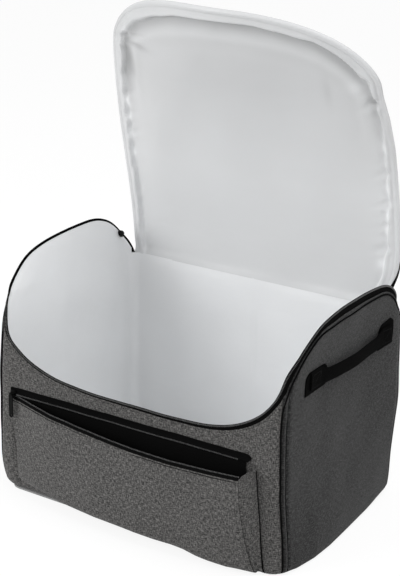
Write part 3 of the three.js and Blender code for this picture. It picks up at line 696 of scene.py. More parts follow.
def opening_path():
    raw = np.vstack([opening_half(-1)[::-1], opening_half(1)[1:]])
    return resampled(softened(resampled(raw, 2.0), 6.0), 2.0)


RIM_PATH = opening_path()
RIM_RUN = lengths_along(RIM_PATH)
RIM_ALONG = np.gradient(RIM_PATH, axis=0)
RIM_ALONG /= np.linalg.norm(RIM_ALONG, axis=1, keepdims=True)
RIM_INWARD = np.column_stack([RIM_ALONG[:, 1], -RIM_ALONG[:, 0]])


def rim_line(width):
    """(u, h) of the line that runs a width below the opening's edge."""
    return RIM_PATH + RIM_INWARD * np.reshape(width, (-1, 1))


def rim_distance(u, h):
    """Distance of points of the skin from the opening's edge."""
    flat = np.column_stack([np.ravel(u), np.ravel(h)])
    nearest = np.empty(len(flat))
    for first in range(0, len(flat), 4000):
        part = flat[first:first + 4000]
        gaps = part[:, None, :] - RIM_PATH[None, ::2, :]
        nearest[first:first + 4000] = np.sqrt((gaps ** 2).sum(axis=2).min(axis=1))
    return nearest.reshape(np.shape(u))


def tape_shown(u):
    """Width of tape that shows outside the cloth: narrow along the front's left half."""
    return np.interp(u, [-545, -262, -222, -80, 110, 215, 262, 300, 335, 380, 440, 490, 545],
                     [7.6, 7.6, 3.6, 4.2, 6.2, 8.6, 8.6, 9.0, 13.0, 13.5, 12.5, 9.5, 8.0])


# Walls

EDGE_STEPS = [0, 0.7, 1.4, 2.1, 2.8, 3.6, 4.4, 5.4, 6.4, 7.6, 9.0, 11.0, 13.5, 16.5]
TOP_STEPS = [0, 0.6, 1.2, 1.8, 2.4, 3.1, 3.9, 4.8, 5.8, 7.0, 8.4, 10.0, 12.0, 14.5, 17.5]
FOOT_STEPS = [0, 1.6, 3.2, 4.8, 6.4, 8.0, 9.6, 11.3, 13.0, 15.5]
GRID_STEP = 4.2


def panel_grid(top, left, right):
    """(u, h) grids of a panel between two seams, from the floor to the line of its top edge."""
    inside = (top[:, 0] > left) & (top[:, 0] < right)
    cut = top[inside]
    cut = np.vstack([[left, cut[0, 1]], cut, [right, cut[-1, 1]]])
    run = lengths_along(cut)
    places = graded(0, run[-1], EDGE_STEPS, GRID_STEP)
    upper = resampled(cut, at=places)
    bottom = left + (right - left) * places / run[-1]
    near = np.array(EDGE_STEPS, float)
    keep = len(near)
    bottom[:keep] = left + near
    bottom[-keep:] = right - near[::-1]
    bottom[keep:-keep] = np.linspace(bottom[keep - 1], bottom[-keep], len(bottom) - 2 * keep + 2)[1:-1]
    foot = np.column_stack([bottom, np.zeros_like(bottom)])
    tall = np.linalg.norm(upper - foot, axis=1)
    middle_rows = int(round((np.median(tall) - FOOT_STEPS[-1] - TOP_STEPS[-1]) / GRID_STEP))
    columns = []
    for low, high, height in zip(foot, upper, tall):
        start = np.array(FOOT_STEPS, float)
        end = height - np.array(TOP_STEPS[::-1], float)
        middle = np.linspace(start[-1], end[0], middle_rows)[1:-1]
        share = np.concatenate([start, middle, end]) / height
        columns.append(low + (high - low) * share[:, None])
    grid = np.stack(columns, axis=1)
    return grid[..., 0], grid[..., 1]


def seam_relief(u, h):
    """Grooves and ridges where the panels are sewn at the corners."""
    s = np.abs(u)
    relief = np.zeros_like(s)
    for seam, toward in ((FRONT_SEAM, 1), (REAR_SEAM, -1)):
        off = (s - seam) * toward
        relief += -1.5 * np.exp(-(off / 1.3) ** 2)
        relief += 0.9 * hump((off - 3.6) / 2.6)
        relief += -1.4 * np.exp(-((off - SEAM_TO_STITCH) / 0.9) ** 2)
        relief += 0.35 * hump((off - 10.5) / 3.5)
        relief += 0.5 * hump((off + 5.0) / 4.0)
    return relief * eased((HINGE[2] + 10 - h) / 10)


def piping_inset(u):
    """How far the piping runs below the opening's edge: further at the rear shoulder."""
    return np.interp(np.abs(u), [250, 290, 330, 380, 440, 490, 545], [9.5, 11.0, 17.5, 19.5, 17, 13, 11])


def piping_relief(u, distance):
    """The cloth strip between zipper and piping on the sides, and the groove that the piping lies in."""
    on_side = eased((np.abs(u) - FRONT_SEAM - 4) / 8) * eased((REAR_SEAM - 4 - np.abs(u)) / 8)
    off = distance - piping_inset(u)
    groove = -0.8 * np.exp(-(off / 1.5) ** 2)
    strip = 0.7 * hump((off + 3.0) / 2.6)
    return (groove + strip) * on_side


def outer_relief(u, h, distance):
    stitch = -0.45 * np.exp(-((distance - tape_shown(u) - TAPE_TO_STITCH) / 0.9) ** 2)
    return seam_relief(u, h) + piping_relief(u, distance) + stitch


def cloth_layer(u, h):
    """Depth of the outer cloth, which closes on the tape towards the opening's edge, and its relief."""
    distance = rim_distance(u, h)
    closing = 1 - eased((distance - tape_shown(u)) / CLOTH_CLOSES_IN)
    return (CLOTH_AT_TAPE - CLOTH) * closing ** 1.5, outer_relief(u, h, distance)


def wall_cloth(side, u, h, depth, relief, material, slot):
    """The outer cloth of one wall, in place of its panel and padding."""
    turned = round_back(u)
    front = skin(turned, h, depth, relief)
    rear = skin(turned, h, depth + CLOTH, relief)
    thing = slab(side + "_outer_cloth", front, rear, material, together(u, h))
    settle(thing, "root", slot, side + "_outer_panel", side + "_padding")


def outer_panel(side, left, right, material, slot):
    u, h = panel_grid(rim_line(tape_shown(RIM_PATH[:, 0])), left, right)
    wall_cloth(side, u, h, *cloth_layer(u, h), material, slot)


def back_grid(left, right):
    """The back is one sheet from seam to seam; u runs past the middle of the back."""
    columns = graded(left, right, EDGE_STEPS, GRID_STEP * 1.3)
    rows = graded(0, BACK_TOP_Z, FOOT_STEPS, GRID_STEP * 1.3, both=False)
    return np.meshgrid(columns, rows)


def back_panel():
    u, h = back_grid(REAR_SEAM, 2 * HALF_RUN - REAR_SEAM)
    wall_cloth("back", u, h, 0.0, seam_relief(round_back(u), h), SHELL, "shell")


def hinge_binding():
    """Tape over the seam where the lid joins the back."""
    low, high = corners("lid_hinge_binding")
    top = high[2] - 1.5
    x, z = np.meshgrid(np.linspace(high[0], low[0], 90), np.linspace(low[2], top, 9))
    u = round_back(HALF_RUN - x)
    edge = np.minimum(z - low[2], top - z)
    front = skin(u, z, -0.6 - 0.5 * eased(edge / 2))
    thing = slab("lid_hinge_binding_tape", front, skin(u, z, -0.1), TAPE_BLACK, together(x, z))
    settle(thing, "root", "tape", "lid_hinge_binding")


def walls():
    outer_panel("front", -FRONT_SEAM, FRONT_SEAM, SHELL, "shell")
    outer_panel("left", -REAR_SEAM, -FRONT_SEAM, SIDE_CLOTH_DARK_AND_SHADED, "side")
    outer_panel("right", FRONT_SEAM, REAR_SEAM, SIDE_CLOTH_DARK_AND_SHADED, "side")
    back_panel()
    hinge_binding()


def base():
    """Base cloth, turned up round its edge, over the board and padding."""
    run = np.linspace(-HALF_RUN, HALF_RUN, 361)[:-1]
    rim = skin(run, np.zeros_like(run))
    centre = np.array([0, 0, rim[:, 2].mean()])
    outline = np.stack([centre + (rim - centre) * (1 - 0.98 * k) for k in np.linspace(1, 0, 5)])
    outline[..., 2] = 0.15
    closed = np.concatenate([outline, outline[:, :1]], axis=1)
    rear = closed + np.array([0, 0, CLOTH])
    uv = closed[..., :2]
    thing = slab("base_outer_cloth", closed[:, ::-1], rear[:, ::-1], SIDE_CLOTH_DARK_AND_SHADED, uv[:, ::-1])
    settle(thing, "root", "side", "base_outer_panel")


# Lining tub

def lining_puff(u, h, distance):
    """Soft fullness of the lining on the foam, drawn in at its seams."""
    s = np.abs(u)
    near_seam = np.minimum(np.abs(s - FRONT_SEAM), np.abs(s - REAR_SEAM))
    full = 2.2 * eased(near_seam / 34) * eased((distance - 4) / 26) * eased((h - FLOOR_Z) / 30)
    ripple = (0.5 * np.sin(u / 17 + h / 70 + 0.4) + 0.35 * np.sin(h / 15 - u / 41)) * eased(distance / 20)
    gather = 0.35 * np.sin(u / 3.1 + 2 * np.sin(u / 37)) * np.exp(-((distance - 7) / 4) ** 2)
    return full + ripple + gather


def lining_wall(name, left, right):
    if name == "back":
        u, h = back_grid(left, right)
        distance = BACK_TOP_Z - h + 12
    else:
        u, h = panel_grid(rim_line(np.full(len(RIM_PATH), LINING_TOP_IN)), left, right)
        distance = rim_distance(u, h)
    h = FLOOR_Z + h * (1 - FLOOR_Z / np.maximum(h.max(axis=0, keepdims=True), 1))
    turned = round_back(u)
    depth = CAVITY_IN + lining_puff(turned, h, distance)
    if name != "back":
        closing = 1 - eased((distance - LINING_TOP_IN) / LINING_CLOSES_IN)
        depth = depth + (LINING_AT_TAPE + LINING_CLOTH - depth) * closing
    front = skin(turned, h, depth - LINING_CLOTH)
    return slab("lining_" + name, front, skin(turned, h, depth), TUB_LINING_PAINTED_LIGHTER, together(u, h))


def lining_floor():
    """The floor of the lining, a soft pad over the board."""
    half_x, half_y, radius = (size - CAVITY_IN + 1.5 for size in (HALF_WIDTH, HALF_DEPTH, CORNER_R))
    px, py = np.meshgrid(np.linspace(-1, 1, 90) * half_x, np.linspace(-1, 1, 64) * half_y)
    over_x = np.maximum(np.abs(px) - (half_x - radius), 0)
    over_y = np.maximum(np.abs(py) - (half_y - radius), 0)
    reach = np.maximum(over_x, over_y)
    diagonal = np.hypot(over_x, over_y)
    squeeze = np.where(diagonal > 0, reach / np.maximum(diagonal, 1e-9), 1)
    px = np.sign(px) * (np.minimum(np.abs(px), half_x - radius) + over_x * squeeze)
    py = np.sign(py) * (np.minimum(np.abs(py), half_y - radius) + over_y * squeeze)
    edge = np.minimum(half_x - np.abs(px), half_y - np.abs(py))
    puff = 1.8 * eased(edge / 40) + 0.5 * np.sin(px / 31) * np.sin(py / 27 + 1)
    z = FLOOR_Z + puff * eased(edge / 15)
    top = together(px, py, z)
    low = together(px, py, z - LINING_CLOTH)
    return slab("lining_floor", top, low, TUB_LINING_PAINTED_LIGHTER, together(px, py))


def lining():
    parts = [
        lining_wall("front", -FRONT_SEAM, FRONT_SEAM),
        lining_wall("left", -REAR_SEAM, -FRONT_SEAM),
        lining_wall("right", FRONT_SEAM, REAR_SEAM),
        lining_wall("back", REAR_SEAM, 2 * HALF_RUN - REAR_SEAM),
        lining_floor(),
    ]
    thing = joined("inner_lining_cloth", parts)
    settle(thing, "root", "lining", "inner_lining")


# Zipper round the opening

def opening_zipper():
    widths = np.array([0, 0.8, 2.4, 4.6, 7.0, 10.5, TAPE_WIDTH + 6.5])
    lines = [rim_line(np.full(len(RIM_PATH), w)) for w in widths]
    grid = np.stack(lines[::-1])
    u, h = grid[..., 0], grid[..., 1]
    outer = skin(u, h, TAPE_IN)
    inner = skin(u, h, TAPE_IN + TAPE)
    uv = together(RIM_RUN, widths[::-1, None])
    thing = slab("opening_zipper_tape_cloth", outer, inner, TAPE_BLACK, uv)
    settle(thing, "root", "tape", "opening_zipper_tape")
    tooth = rim_line(np.full(len(RIM_PATH), 1.5))
    facing = facing_out(tooth[:, 0], tooth[:, 1])
    base_line = skin(tooth[:, 0], tooth[:, 1], TAPE_IN - 0.3)
    teeth = row("opening_zipper_teeth", [(base_line, facing)], COIL, COIL_STEP, COIL_TURN, 3.0, 1.7)
    settle(teeth, "root", "coil", "opening_zipper_coil")


def piping_line(sign):
    """(u, h) of the piping: up the front seam, round the side's edge and down the rear seam."""
    rim = rim_line(piping_inset(RIM_PATH[:, 0]))
    side = rim[(rim[:, 0] * sign > FRONT_SEAM + 9) & (rim[:, 0] * sign < REAR_SEAM - 9)]
    if sign < 0:
        side = side[::-1]
    side = side[side[:, 1] > 238]
    front_h = side[0, 1] - 34
    rear_h = side[-1, 1] - 30
    front = np.array([[sign * FRONT_SEAM, 5], [sign * FRONT_SEAM, front_h]])
    rear = np.array([[sign * REAR_SEAM, rear_h], [sign * REAR_SEAM, 5]])
    raw = resampled(np.vstack([front, side, rear]), 2.0)
    return resampled(softened(raw, 4.0), 2.5)


def pipings():
    for name, sign in (("left", -1), ("right", 1)):
        line = piping_line(sign)
        u, h = line[:, 0], line[:, 1]
        points = skin(u, h, 0.1)
        thing = tube(name + "_piping_cord", points, facing_out(u, h), 1.15, PIPING)
        settle(thing, "root", "piping", name + "_piping")
        h = np.arange(6.0, 226.0, 3.0)
        u = np.full_like(h, sign * (FRONT_SEAM + SEAM_TO_STITCH))
        points = skin(u, h, 0.0, seam_relief(u, h)) + 0.25 * facing_out(u, h)
        thing = tube(name + "_seam_edge", points, facing_out(u, h), 0.75, PIPING, sides=6)
        settle(thing, "root", "piping")


def wall_stitches():
    """Rows of top stitching below the zipper and beside the corner seams."""
    below = rim_line(tape_shown(RIM_PATH[:, 0]) + TAPE_TO_STITCH)
    u, h = below[np.abs(below[:, 0]) < REAR_SEAM - 2].T
    lines = [(skin(u, h, *cloth_layer(u, h)), facing_out(u, h))]
    for sign in (-1, 1):
        for seam, toward, top in ((FRONT_SEAM, 1, 222), (REAR_SEAM, -1, 250)):
            h = np.arange(8.0, top, 3.0)
            u = np.full_like(h, sign * (seam + SEAM_TO_STITCH * toward))
            lines.append((skin(u, h, 0.0, seam_relief(u, h)), facing_out(u, h)))
    thing = row("wall_stitches", lines, THREAD, STITCH_STEP, STITCH, 0.62, 0.5, lift=0.1)
    settle(thing, "root", "shell")


# Lid. x runs across it, v up from the hinge along its outer face

LID_HALF = corners("lid_cloth_1")[1][0] + 6.5
LID_JOINTS = ["lid_hinge"] + ["lid_curl_%d" % i for i in range(2, 7)]
STRIP_FEET = [joint_origin(name) for name in LID_JOINTS]
LAST_STRIP = 62.2
STRIP_LENGTHS = [float(np.linalg.norm(b - a)) for a, b in zip(STRIP_FEET, STRIP_FEET[1:])] + [LAST_STRIP]
STRIP_STARTS = np.concatenate([[0], np.cumsum(STRIP_LENGTHS)])
LID_LENGTH = STRIP_STARTS[-1]
# Degrees that the lid leans at its hinge, and what each 100 mm and its square add
LID_TILT = (-0.21, 12.14, -1.1)
# The free end: how far its corners lie below its middle, and the powers of its curve
LID_ROUND = 114
LID_ROUND_SIDE = 2.0
LID_ROUND_TOP = 1.66
LID_END_IN = 2
LID_SHIFT = 3
LID_CLOTH = 1.0
THICK_AT_HINGE = 8.3
# How far a strip's bend reaches past its joint: a share of the strip, and at most so much
BEND_SHARE = 0.35
BEND_REACH = 26
SHORT_BEND_REACH = 14
# Where the rim is pinched: side of the lid, height, size along the edge and depth
PINCHES = (
    (1, 92, 9, 2.6), (1, 128, 7, 2.0), (1, 164, 8, 2.4), (1, 212, 8, 2.2), (1, 322, 9, 3.2),
    (-1, 205, 9, 2.0), (-1, 236, 8, 2.0), (-1, 270, 9, 2.4), (-1, 300, 10, 2.4), (-1, 363, 10, 4.4),
)
# Folds and puffs beside the rim: x, v, half width, half height, and depth; puffs are below zero. Besides the
# relief, the same depths are painted into the lining's colour: painted shade in the folds and painted
# highlights on the puffs.
FOLDS_AND_PAINTED_SHADE = (
    (-172, 358, 26, 4.5, 0.22), (-190, 375, 4, 9, -0.22), (-192, 322, 11, 24, 0.20),
    (-214, 284, 6, 10, -0.12), (-211, 257, 4, 9, -0.34), (-213, 232, 3.5, 8, -0.2),
    (-216, 205, 3.5, 10, -0.2), (-215, 170, 3, 10, -0.14), (196, 343, 14, 10, -0.12),
    (152, 338, 6, 22, 0.08), (219, 322, 8, 3, 0.25), (221, 251, 4, 7, -0.25),
    (221, 187, 4, 9, -0.3), (218, 143, 4, 8, -0.28), (215, 118, 4, 8, -0.28),
    (209, 64, 9, 12, -0.25),
)
LID_GROOVE_HEIGHT = 1.9
LID_HINGE_TAPER = 9.0
LID_EDGE_R = 4.0
LID_RIM_HEIGHT = 6.8
RIM_STITCH_IN = 8.0
# The upper corners curl about slanting lines: how far out, at what angle, and how tightly on each side
CORNER_LINE = 240
CORNER_ANGLE = 0.61
CORNER_CURL = {-1: 0.0038, 1: 0.0018}


def lid_half(v):
    """Half the lid's width: it narrows a little where it meets the bag's corners."""
    return LID_HALF - LID_HINGE_TAPER * (1 - np.clip(v / 75, 0, 1)) ** 2


def lid_end(x):
    """Where the lid's free end lies, by x."""
    k = np.clip(np.abs(x) / LID_HALF, 0, 1)
    worn = 1.5 * eased((x - 175) / 50)
    round_end = LID_ROUND * (1 - (1 - k ** LID_ROUND_SIDE) ** (1 / LID_ROUND_TOP))
    return LID_LENGTH - LID_END_IN - round_end - worn


def lid_rim_distance(x, v):
    """Distance from the lid's edge, measured in its own plane."""
    side = lid_half(v) - np.abs(x)
    step = 0.5
    slope = (lid_end(x + step) - lid_end(x - step)) / (2 * step)
    end = (lid_end(x) - v) / np.sqrt(1 + slope ** 2)
    soft = 5.0
    low = np.minimum(side, end)
    return np.maximum(low - soft * np.exp(-np.abs(side - end) / soft) * 0.3, 0)


def lid_spine():
    v = np.linspace(-12, LID_LENGTH + 12, 400)
    base = np.clip(v, 0, None) / 100
    tilt = np.radians(LID_TILT[0] + LID_TILT[1] * base + LID_TILT[2] * base ** 2)
    step = v[1] - v[0]
    middle = (tilt[1:] + tilt[:-1]) / 2
    y = -np.concatenate([[0], np.cumsum(np.sin(middle) * step)])
    z = np.concatenate([[0], np.cumsum(np.cos(middle) * step)])
    y += HINGE[1] - np.interp(0, v, y)
    z += HINGE[2] - np.interp(0, v, z)
    return v, y, z, tilt


SPINE = lid_spine()


def lid_base(x, v):
    """A point of the lid's outer face, with its corners curled."""
    to_right = np.clip(x / LID_HALF, 0, 1)
    drawn_in = np.interp(v, [0, 12, 28, 50, 90], [15, 12.5, 9.0, 4.8, 0]) * to_right ** 2
    drawn_in += np.interp(v, [250, 295, 330, 400], [0, 3, 8.5, 11]) * to_right ** 4
    qx, qv = x + LID_SHIFT * eased(v / 60) - drawn_in, np.array(v, float)
    out = np.zeros_like(qx)
    nx, nv = math.cos(CORNER_ANGLE), math.sin(CORNER_ANGLE)
    for sign, curl in CORNER_CURL.items():
        past = np.maximum(0, sign * x * nx + v * nv - CORNER_LINE)
        move = np.sin(curl * past) / curl - past
        qx = qx + sign * nx * move
        qv = qv + nv * move
        out = out + (1 - np.cos(curl * past)) / curl
    run, y, z, tilt = SPINE
    py, pz, pt = (np.interp(qv, run, column) for column in (y, z, tilt))
    return together(qx, py + out * np.cos(pt), pz + out * np.sin(pt))


LID_EDGE_STEPS = [
    0, 0.12, 0.45, 1.0, 1.8, 2.8, 4.0, 5.5, 7.0, 8.0, 9.2, 10.8, 12.4, 14.0, 15.2, 16.4, 17.6, 18.8,
    20.0, 21.2, 22.4, 23.6, 24.8, 26.0, 27.2, 28.6, 30.4, 32.8, 36.0,
]
LAST_CUT = 344.5
LID_CUTS = [-3.0] + [STRIP_STARTS[i] + STRIP_LENGTHS[i] / 2 for i in range(4)] + [LAST_CUT, LID_LENGTH]
LID_STEP = 4.5


def lid_rows():
    """Heights of the grid's rows, with one on each cut between segments, and their cut numbers."""
    rows = [np.array([LID_CUTS[0]])]
    ends = [0]
    for low, high in zip(LID_CUTS[:-2], LID_CUTS[1:-1]):
        count = max(2, int(round((high - low) / LID_STEP)))
        rows.append(np.linspace(low, high, count + 1)[1:])
        ends.append(ends[-1] + count)
    last = graded(LID_CUTS[-2], LID_LENGTH, [0, 4.5], LID_STEP, both=False)
    top = LID_LENGTH - np.array(LID_EDGE_STEPS[::-1], float)
    last = np.concatenate([last[last < top[0] - 2], top])
    rows.append(last[1:])
    ends.append(ends[-1] + len(last) - 1)
    return np.concatenate(rows), ends


def lid_grid():
    """x and v over the whole lid; the last segment's rows follow the rounded end."""
    columns = graded(-LID_HALF, LID_HALF, LID_EDGE_STEPS, LID_STEP)
    rows, ends = lid_rows()
    x, v = np.meshgrid(columns, rows)
    x = x * lid_half(v) / LID_HALF
    low = LID_CUTS[-2]
    share = np.clip((v - low) / (LID_LENGTH - low), 0, 1)
    v = np.where(v > low, low + share * (lid_end(x) - low), v)
    return x, v, ends


def rim_width(x, v):
    """Width of the lid's rim: broad along the free end and narrower down the sides."""
    left = np.interp(v, [0, 160, 240, 300, 350], [19, 19.5, 22.5, 27, 31.5])
    right = np.interp(v, [0, 64, 118, 187, 282, 345], [24, 25, 21, 16.5, 15, 18])
    end = np.interp(x, [-235, -199, -163, -80, 26, 111, 145, 186, 205, 219, 235],
                    [31.5, 29.5, 25.5, 24.5, 22, 21, 18, 23, 26, 19, 17])
    return np.where(x < 0, left, right) + (end - np.where(x < 0, left, right)) * eased((v - 335) / 25)


def rim_seam(x, v):
    """Distance of the rim's seam from the edge: it wanders, and the pinches draw it outwards."""
    run = v + 0.9 * np.abs(x)
    seam = rim_width(x, v) + 0.9 * np.sin(run / 13 + 2 * np.sin(run / 47))
    seam = seam + 0.5 * np.sin(run / 5.6 + 1.7 * np.sin(run / 29))
    for sign, height, size, depth in PINCHES:
        seam = seam - 0.9 * depth * np.exp(-((v - height) / size) ** 2) * (x * sign > 0)
    return seam


def lid_lining_height(x, v, distance):
    """How far the lining stands off the lid's outer face."""
    seam = rim_seam(x, v)
    rounding = np.sqrt(1 - (1 - np.clip(distance / LID_EDGE_R, 0, 1)) ** 2)
    crest = 2.2 * hump((distance - seam + 6) / 6)
    fall = eased((distance - seam + 4) / 4.5)
    rim_band = LID_RIM_HEIGHT * rounding + crest - (LID_RIM_HEIGHT - LID_GROOVE_HEIGHT) * fall
    rim_band -= 0.8 * np.exp(-((distance - RIM_STITCH_IN) / 1.1) ** 2)
    height = rim_band + 1.2 * eased((distance - seam - 1) / 10) + 3.2 * eased((distance - seam - 4) / 60)
    quilt = 0.9 * np.sin(x / 46 + 0.8) * np.sin(v / 52 + 0.3) + 0.6 * np.sin(x / 23 - v / 61)
    return height + quilt * eased((distance - seam - 6) / 50)


# Sum of the folds table: relief for the puckers, and painted shade and painted highlights for the lining's
# colour.
def folds_and_painted_shade(x, v):
    total = np.zeros_like(x)
    for fold_x, fold_v, half_x, half_v, depth in FOLDS_AND_PAINTED_SHADE:
        total += depth * np.exp(-((x - fold_x) / half_x) ** 2 - ((v - fold_v) / half_v) ** 2)
    return total


def painted_lid_shade(x, v, distance):
    """Painted shade and highlights for the lining's colour: painted shade deepest in the seam's groove and
    in the folds, fading below the rim and darker towards the top, and painted highlights on the rim and
    puffs.
    """
    off = distance - rim_seam(x, v)
    # Painted shadow in the seam's groove and below the rim, fading over about 35 mm, with faint painted
    # highlights beside it.
    under = np.interp(off, [-4, -1.5, 0, 2, 6, 10, 13, 17, 25, 35, 50],
                      [-0.07, 0, 0.26, 0.28, 0.24, 0.18, 0.11, 0.03, -0.05, 0.03, 0])
    # How strongly that painted shadow shows on each side, rising towards the free end.
    left = np.interp(v, [150, 250, 275, 300, 350], [0.05, 0.15, 0.6, 1.1, 1.3])
    right = np.interp(v, [150, 250, 280, 340], [0, 0.1, 0.45, 0.8])
    strength = np.where(x < 0, left, right)
    strength = strength + (1 - strength) * eased((v - 345) / 30)
    # Painted highlight along the rim, where the painted shadow is weak.
    painted_rim_highlight = -0.12 * np.exp(-((off + 1) / 2.5) ** 2) * (1 - np.clip(strength, 0, 1))
    # Painted shade by height: darker towards the top of the lid, slightly lighter low down.
    painted_height_shade = np.interp(v, [170, 235, 285, 330, 390], [-0.045, 0.015, 0.06, 0.11, 0.13])
    # A thin line of painted shade along the rim's stitch groove.
    seam = 0.07 * np.exp(-((distance - RIM_STITCH_IN) / 1.2) ** 2)
    return painted_height_shade + seam + under * strength + painted_rim_highlight + folds_and_painted_shade(x, v)


def lid_puckers(x, v, distance):
    """Creases that fan in from the rim's seam, strongest where the edge is gathered."""
    off = distance - rim_seam(x, v)
    total = np.zeros_like(x)
    for sign, height, size, depth in PINCHES:
        reach = np.exp(-((off - 4) / (6 + 3 * depth)) ** 2) * (x * sign > 0)
        along = (v - height + 0.4 * off * sign) / size
        total -= 0.75 * depth * reach * np.cos(2.4 * along) * np.exp(-(along / 1.5) ** 2)
    run = v + 0.9 * np.abs(x)
    fine = 0.45 * np.sin(run / 4.2 + np.sin(run / 21) * 2) * np.exp(-((off - 1) / 5) ** 2)
    return total + fine - 7.0 * folds_and_painted_shade(x, v)


def lid_cup(distance):
    """The rim's slight turn towards the lining side."""
    return 1.2 * np.clip(1 - distance / 26, 0, 1) ** 2


def lid_surfaces():
    x, v, ends = lid_grid()
    distance = lid_rim_distance(x, v)
    base_points = lid_base(x, v)
    outward = grid_normals(base_points)
    inward = -outward if outward[10, x.shape[1] // 2, 1] > 0 else outward
    waves = 1.2 * np.sin(v / 55 + 0.5) * np.sign(x) * (np.abs(x) / LID_HALF) ** 3
    slack = waves * eased(v / 60) * (v < LID_LENGTH)
    base_points = base_points + inward * (lid_cup(distance) + slack)[..., None]
    height = lid_lining_height(x, v, distance) + lid_puckers(x, v, distance) * eased(v / 40)
    at_hinge = 1 - eased((v + 3) / 14)
    height = np.maximum(height, LID_CLOTH + 0.75)
    height = height + (THICK_AT_HINGE - height) * at_hinge
    return x, v, ends, distance, base_points, inward, height


def lid_blend_line(index):
    """Where segment index bends: a line along the lid across its joint."""
    joint = STRIP_STARTS[index]
    start_v = joint - min(BEND_SHARE * STRIP_LENGTHS[index - 1], BEND_REACH) if index else -1
    reach = SHORT_BEND_REACH if index == 4 else min(BEND_SHARE * STRIP_LENGTHS[index], BEND_REACH)
    return lid_base(np.zeros(2), np.array([start_v, joint + reach]))


def settle_on_lid(thing, index, slot, *nodes):
    """Settles a piece for the lid's segment index, handing settle_bent the bodies and joint line at its
    foot.
    """
    bodies = ("lid_%d" % index if index else "root", "lid_%d" % (index + 1))
    settle_bent(thing, bodies, lid_blend_line(index), slot, *nodes)


def part_of(grid, ends, index):
    return grid[ends[index]:ends[index + 1] + 1]


def lid_sheet(name, index, grids, material, slot, node, painted_shade=None):
    """A segment's lining or outer cloth, from its front, back, normals and pattern coordinates, with painted
    shade stored on its points when given.
    """
    front, back, normals, uv = grids
    thing = slab("%s_%d" % (name, index + 1), front, back, material, uv, normals)
    # The painted shade goes on the points of both faces; the lining material darkens its colour by it.
    if painted_shade is not None:
        painted_shade_part = painted_shade.ravel().astype(np.float32)
        layer = thing.data.attributes.new("painted_shade", "FLOAT", "POINT")
        layer.data.foreach_set("value", np.concatenate([painted_shade_part, painted_shade_part]))
    settle_on_lid(thing, index, slot, "%s_%d" % (node, index + 1))


def lid():
    x, v, ends, distance, face, inward, height = lid_surfaces()
    back_height = np.where(height < LID_CLOTH + 0.6, height - 0.5, LID_CLOTH + 0.15)
    lining_front, lining_back = (face + inward * off[..., None] for off in (height, back_height))
    cloth_bulge = 0.8 * eased((distance - 8) / 40)
    held_in = lid_base(x * (1 - 1.0 / LID_HALF), v - 1.0 * eased((v - 330) / 100))
    held_in = held_in + (face - lid_base(x, v))
    cloth_front = held_in - inward * cloth_bulge[..., None]
    cloth_back = cloth_front + inward * LID_CLOTH
    uv = together(x, v)
    lining_grids = (lining_front, lining_back, towards(grid_normals(lining_front), inward), uv)
    cloth_grids = (cloth_front, cloth_back, towards(grid_normals(cloth_front), -inward), uv)
    # Painted shade and painted highlights for the lid lining's colour.
    painted_shade = painted_lid_shade(x, v, distance)
    for index in range(6):
        grids = [part_of(grid, ends, index) for grid in lining_grids]
        painted_shade_part = part_of(painted_shade, ends, index)
        lid_sheet("lid_lining", index, grids, LINING, "lining", "lid_padding", painted_shade_part)
        grids = [part_of(grid, ends, index)[:, ::-1] for grid in cloth_grids]
        lid_sheet("lid_shell", index, grids, SHELL, "shell", "lid_cloth")
    lid_zipper()


def lid_outline(inset, index):
    """(x, v) along the lid's edge within a segment, inset from it: left side up, or the whole end."""
    low, high = LID_CUTS[index], LID_CUTS[index + 1]
    if index < 5:
        v = np.linspace(max(low, 0.5), high, max(3, int((high - max(low, 0.5)) / 4)))
        return [np.column_stack([-lid_half(v) + inset, v]), np.column_stack([lid_half(v) - inset, v])]
    k = np.sin(np.linspace(-math.pi / 2, math.pi / 2, 240))
    x = k * LID_HALF
    outline = np.column_stack([x, lid_end(x)])
    along = np.gradient(outline, axis=0)
    along /= np.linalg.norm(along, axis=1, keepdims=True)
    moved = outline + np.column_stack([along[:, 1], -along[:, 0]]) * inset
    moved = np.vstack([[-LID_HALF + inset, low], moved, [LID_HALF - inset, low]])
    return [moved]


def lid_place(line, off):
    """Points on the lid's outer side, and the direction away from it."""
    x, v = line.T
    step = 1.0
    across = lid_base(x + step, v) - lid_base(x - step, v)
    up = lid_base(x, v + step) - lid_base(x, v - step)
    out = np.cross(up, across)
    out /= np.linalg.norm(out, axis=1, keepdims=True)
    out = np.where((out[:, 1] < 0)[:, None], -out, out)
    return lid_base(x, v) + out * (off - lid_cup(lid_rim_distance(x, v)))[:, None], out


def turned_edge(index, side):
    """Rows of the tape where it is turned over the lid's lower right edge, outside and inside."""
    over, outer, near = (lid_outline(inset, index)[side] for inset in (2.6, -0.9, -0.3))
    turned = -7.6 * (1 - eased((outer[:, 1] - 25) / 60))
    outside = ((over, turned * 0.99), (outer, turned), (outer, 0.3))
    inside = ((over, turned * 0.9), (near, turned * 0.95), (near, 0.0))
    return [[lid_place(path, off)[0] for path, off in rows] for rows in (outside, inside)]


